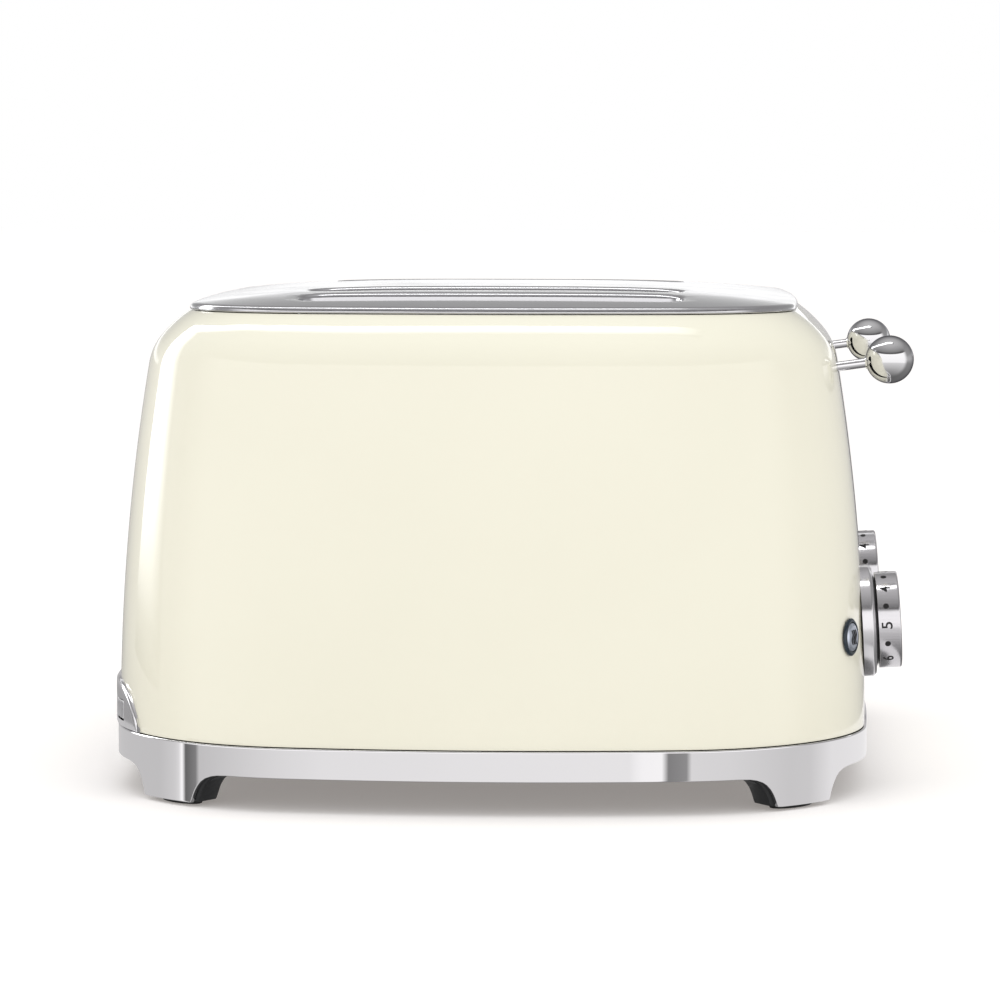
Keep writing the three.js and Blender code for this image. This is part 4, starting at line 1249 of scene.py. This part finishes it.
def make_heaters():
    """Mica boards wound with flat resistance ribbon."""
    notches = np.arange(58, 170, 9.0)
    edge = []
    for z in notches:
        edge += [(87.7, z), (86.2, z + 0.6), (86.2, z + 2.2), (87.7, z + 2.8)]
    notched = [(-87.7, 50), (87.7, 50), *edge, (87.7, 176), (-87.7, 176)]
    notched += [(-x, z) for x, z in edge[::-1]]
    for bank, middle in BANKS.items():
        for side, offset in (("a", -49.0), ("middle", 0.0), ("b", 49.0)):
            y, name = middle + offset, f"{bank}_{side}"
            add(f"mica_{name}", across(notched, y - 0.5, y + 0.5), "mica", f"heater_board_{name}")
            runs = []
            for z in notches + 1.4:
                # straight across on one face, and up to the next notch on the other
                for way, climb in ((-1, 0.0), (1, 4.5)):
                    strip = [(-86.3, z), (86.3, z + climb), (86.3, z + climb + 1.3),
                             (-86.3, z + 1.3)]
                    depth = y + way * 0.62
                    runs.append(across(strip, depth - 0.08, depth + 0.08))
            add(f"ribbon_{name}", join_shapes(runs), "ribbon")


# ---------- crumb trays and cord gland ----------


def tray_outline(y0, y1, front, dip, back, count=36):
    """A tray's plan: its handle end follows the body, set in by front and by a dip in its middle."""
    ys = np.linspace(y0, y1, count)
    share = np.clip(3.2 * (1 - np.abs(ys - (y0 + y1) / 2) / ((y1 - y0) / 2)) - 1.4, 0, 1)
    groove = dip * share * share * (3 - 2 * share)
    curved = plan(angle_on_end(ys, -1, front), front + groove)
    return np.vstack([curved, [(back, y1)], [(back, y0)]])


def make_trays():
    for bank in BANKS:
        (_, y0, z0), (x1, y1, z1) = mm_box(f"crumb_tray_{bank}")
        # [set-in at the handle end, at the sides and the back, height, dip] of each ring
        sections = [(-1.2, 0.4, z0, 0), (-1.6, 0.0, z0 + 0.4, 0)]
        # a finger groove along the handle end
        for z, dip in ((31.2, 0), (31.8, 0.7), (32.6, 1.1), (34.9, 1.1), (35.7, 0.7), (36.3, 0)):
            sections.append((-1.6, 0.0, z, dip))
        sections += [(-1.6, 0.0, z1 - 0.4, 0), (-1.2, 0.4, z1, 0), (2.6, 0.9, z1, 0),
                     (3.0, 1.2, z1 - 0.4, 0), (3.2, 1.4, z0 + 1.8, 0), (4.0, 2.2, z0 + 1.2, 0)]
        rings = [level(tray_outline(y0 + side, y1 - side, front, dip, x1 - side), z)
                 for front, side, z, dip in sections]
        body = f"crumb_tray_{bank}"
        add(f"tray_{bank}", loft(rings), "tray", body, body=body, sharp=30)


def make_gland():
    low, high = mm_box("cord_gland")
    out = Matrix.Translation((high[0] - 9, 0, (low[2] + high[2]) / 2))
    profile = filleted(
        [(-9, 3.6), (-9, 5.2), (0, 5.2), (0, 7), (2.4, 7), (2.4, 5.6), (1.9, 5.2), (1.9, 4.4),
         (2.4, 4.2), (2.4, 3.6)],
        [0.3, 0.3, 0, 0.2, 0.7, 0.2, 0.1, 0.1, 0.2, 0.3], 4, closed=True,
    )
    add("gland", turned(profile, 64), "black", "cord_gland", out @ Matrix.Rotation(math.pi, 4, "Z"))


def finish_frame_plates():
    """The two pressed plates keep their CAD shape and get the zinc look."""
    for name in ("frame_plate_left", "frame_plate_right"):
        for slot in frame["nodes"][name].material_slots:
            slot.material = LOOKS["zinc"][0]


make_shell()
make_top()
make_base_ring()
make_rear_trim()
make_base_pan()
make_feet()
make_dials()
make_buttons()
make_levers()
make_guards()
make_heaters()
make_trays()
make_gland()
finish_frame_plates()


# ---------- stage, light and camera ----------

# brightness of the reflection wall by direction, from +X (0) round the front or back to -X (1)
WALL_TONES = [
    (0.0, 0.78), (0.2284, 0.76), (0.259, 0.59), (0.2824, 0.575), (0.34, 0.66), (0.3716, 0.68),
    (0.3722, 0.28), (0.3885, 0.21), (0.3895, 0.92), (0.4035, 0.90), (0.41, 0.79), (0.60, 0.77),
    (0.6596, 0.62), (0.7010, 0.53), (0.7022, 0.22), (0.7170, 0.115), (0.7180, 1.0), (0.7199, 0.98),
    (0.7225, 0.70), (0.7275, 0.61), (0.7485, 0.53), (1.0, 0.52),
]
# what metal and enamel mirror, from straight down (0) to straight up (1), in front and behind
FRONT_TONES = [
    (0.0, 0.22), (0.06, 0.34), (0.2, 0.58), (0.37, 0.8), (0.41, 1.15), (0.72, 1.25), (0.735, 0.12),
    (0.77, 0.12), (0.80, 0.26), (0.93, 0.46), (1.0, 0.6),
]
REAR_TONES = [(0.0, 0.15), (0.4, 0.3), (0.5, 0.55), (0.56, 0.5), (0.62, 0.36), (0.8, 0.32), (1.0, 0.6)]
BRIGHTEST = 1.3
# the wall's distance from the body, its foot below the floor, and its strength
WALL_OUT, WALL_FOOT, WALL_STRENGTH = 20, -60, 1.16
# the softbox's radius and strength, and its [share of the bend, front edge, rear edge]
BEND_R, SOFTBOX_STRENGTH = 1150, 5.0
SPANS = np.array([(0, 60, 740), (0.3, 220, 720), (0.45, 360, 790), (0.52, 440, 780),
                  (0.56, 270, 540), (0.61, 140, 330), (0.75, -120, 50), (0.87, -225, -50),
                  (1, -225, -45)])
# [height, brightness] up the screen close behind the top
SCREEN = ((206, 1.3), (228, 1.3), (240, 0.62), (265, 0.44), (300, 0.36))


def tone_ramp(tree, source, tones):
    ramp = add_node(tree, "ValToRGB", Fac=source)
    stops = ramp.color_ramp.elements
    for k, (at, tone) in enumerate(tones):
        stop = stops[k] if k < 2 else stops.new(at)
        stop.position = at
        stop.color = (tone, tone * 0.985, tone * 0.99, 1)
    return ramp.outputs["Color"]


def math_node(tree, operation, *values):
    return add_node(tree, "Math", *values, operation=operation).outputs[0]


def blend(tree, value, start, end, first, second):
    """Goes smoothly from the first colour to the second as the value goes from start to end."""
    share = add_node(tree, "MapRange", Value=value, From_Min=start, From_Max=end,
                     interpolation_type="SMOOTHSTEP").outputs[0]
    return add_node(tree, "MixRGB", Fac=share, Color1=first, Color2=second).outputs[0]


def make_world():
    """White to the camera and for soft light; graded grey where something shiny mirrors it."""
    world = bpy.data.worlds.new("studio")
    bpy.context.scene.world = world
    world.use_nodes = True
    tree = world.node_tree
    coords = add_node(tree, "TexCoord").outputs["Generated"]
    split = add_node(tree, "SeparateXYZ", coords)
    height = math_node(tree, "MULTIPLY_ADD", split.outputs["Z"], 0.5, 0.5)
    front, rear = (
        tone_ramp(tree, height, [(at, tone / BRIGHTEST) for at, tone in tones])
        for tones in (FRONT_TONES, REAR_TONES)
    )
    mirrored = blend(tree, split.outputs["Y"], -0.35, 0.1, front, rear)
    glossy = add_node(tree, "LightPath").outputs["Is Glossy Ray"]
    white = (1 / BRIGHTEST, 1 / BRIGHTEST, 1 / BRIGHTEST, 1)
    pick = add_node(tree, "MixRGB", Fac=glossy, Color1=white, Color2=mirrored)
    tree.links.new(pick.outputs[0], tree.nodes["Background"].inputs["Color"])
    tree.nodes["Background"].inputs["Strength"].default_value = BRIGHTEST


def stage_piece(name, points, faces, material, hidden_from):
    mesh = bpy.data.meshes.new(name)
    mesh.from_pydata(points, [], faces)
    mesh.materials.append(material)
    piece = bpy.data.objects.new(name, mesh)
    for ray in hidden_from:
        setattr(piece, f"visible_{ray}", False)
    bpy.context.scene.collection.objects.link(piece)
    return piece


def add_card(name, points, faces, material):
    """A card that only reflections show: no shadow, no soft light, and not in the picture."""
    others = ("camera", "diffuse", "shadow", "transmission", "volume_scatter")
    return stage_piece(name, (np.asarray(points) * MM).tolist(), faces, material, others)


def glow(name, strength):
    """An emission material, and the socket that sets its colour."""
    material = bpy.data.materials.new(name)
    material.use_nodes = True
    tree = material.node_tree
    tree.nodes.remove(tree.nodes["Principled BSDF"])
    lamp = add_node(tree, "Emission", Strength=strength)
    tree.links.new(lamp.outputs[0], tree.nodes["Material Output"].inputs["Surface"])
    return material, lamp.inputs["Color"]


def graded_card(name, points, columns, tones, strength):
    """A reflection card of rows of points, each point with its own share of the strength."""
    material, color = glow(f"{name}_glow", strength)
    tree = material.node_tree
    tone = add_node(tree, "Attribute", attribute_name="tone").outputs["Fac"]
    tree.links.new(tone, color)
    faces = grid_faces(len(points) // columns, columns, wrap_columns=False)
    card = add_card(name, points, faces, material)
    card.data.attributes.new("tone", "FLOAT", "POINT").data.foreach_set("value", tones)


def make_cards():
    """A low wall round the base for its metal to mirror, a bent softbox at the left and overhead,
    and a screen behind that the far half of the top plate mirrors as white."""
    ring = plan(outline_angles(40, 30, 30), -WALL_OUT) + CENTRE[:2]
    rings = [level(ring, z) for z in (WALL_FOOT, BASE_TOP - 1.8)]
    wall, color = glow("wall_glow", WALL_STRENGTH)
    tree = wall.node_tree
    split = add_node(tree, "SeparateXYZ", add_node(tree, "TexCoord").outputs["Object"])
    x = math_node(tree, "SUBTRACT", split.outputs["X"], float(CENTRE[0]) * MM)
    side = math_node(tree, "ABSOLUTE", split.outputs["Y"])
    share = math_node(tree, "DIVIDE", math_node(tree, "ARCTAN2", side, x), math.pi)
    tree.links.new(tone_ramp(tree, share, WALL_TONES), color)
    add_card("reflection_wall", np.concatenate(rings), grid_faces(2, len(ring)), wall)
    rows = [(-BEND_R, -60, *SPANS[0, 1:])]
    for t in np.linspace(0, 1, 61):
        turn = math.pi * (1 - t / 2)
        reach = (np.interp(t, SPANS[:, 0], SPANS[:, k]) for k in (1, 2))
        rows.append((BEND_R * math.cos(turn), BEND_R * math.sin(turn), *reach))
    rows += [(x, BEND_R, *SPANS[-1, 1:]) for x in (140, 240, 390)]
    points, tones = [], []
    for x, z, low, high in rows:
        points += [(x, y, z) for y in (low, low + 0.35 * (high - low), high)]
        tone = float(np.interp(z, [-20, 190], [0, 1]) * np.interp(x, [140, 390], [1, 0]))
        tones += [0.0, tone, tone]
    graded_card("bent_softbox", points, 3, tones, SOFTBOX_STRENGTH)
    points = [(x, 260, z) for z, _ in SCREEN for x in (-500, 500)]
    tones = [tone / BRIGHTEST for _, tone in SCREEN for _ in (0, 1)]
    graded_card("rear_screen", points, 2, tones, BRIGHTEST)


def make_floor(half=15):
    """Paper that gives off a little light of its own, so that it clips to white when lit."""
    look = Look("floor_paper", (0.77, 0.765, 0.765), 0.9, Specular_IOR_Level=0.0,
                Emission_Color=(1.0, 0.93, 0.88, 1), Emission_Strength=0.27)
    corners = [(-half, -half, 0), (half, -half, 0), (half, half, 0), (-half, half, 0)]
    stage_piece("floor", corners, [(0, 1, 2, 3)], look.material, ["glossy"])


def add_light(name, size, at, watts):
    data = bpy.data.lights.new(name, "AREA")
    data.shape = "RECTANGLE"
    data.size, data.size_y = size
    data.energy = watts
    light = bpy.data.objects.new(name, data)
    light.location = at
    light.rotation_euler = (Vector((0, 0, 0.1)) - Vector(at)).to_track_quat("-Z", "Z").to_euler()
    light.visible_camera = False
    light.visible_glossy = False
    bpy.context.scene.collection.objects.link(light)


def make_camera():
    """The photograph's camera: its place, and its turn, dip and roll in radians."""
    data = bpy.data.cameras.new("camera")
    data.lens, data.sensor_width, data.clip_end = 148.88, 36.0, 100
    camera = bpy.data.objects.new("camera", data)
    turn, dip, roll = 0.0439, 0.0802, 0.0012
    aim = Vector((-math.sin(turn) * math.cos(dip), math.cos(turn) * math.cos(dip), -math.sin(dip)))
    right = aim.cross(Vector((0, 0, 1))).normalized()
    up = right.cross(aim)
    c, s = math.cos(roll), math.sin(roll)
    matrix = Matrix((right * c + up * s, up * c - right * s, -aim)).transposed().to_4x4()
    matrix.translation = Vector(((78.5 + CENTRE[0]) * MM, -1.8182, 0.2565))
    camera.matrix_world = matrix
    bpy.context.scene.collection.objects.link(camera)
    bpy.context.scene.camera = camera


make_world()
make_cards()
make_floor()
add_light("overhead", (1.6, 1.2), (0, -0.3, 1.6), 6)
make_camera()
bpy.context.scene.view_settings.view_transform = "Standard"
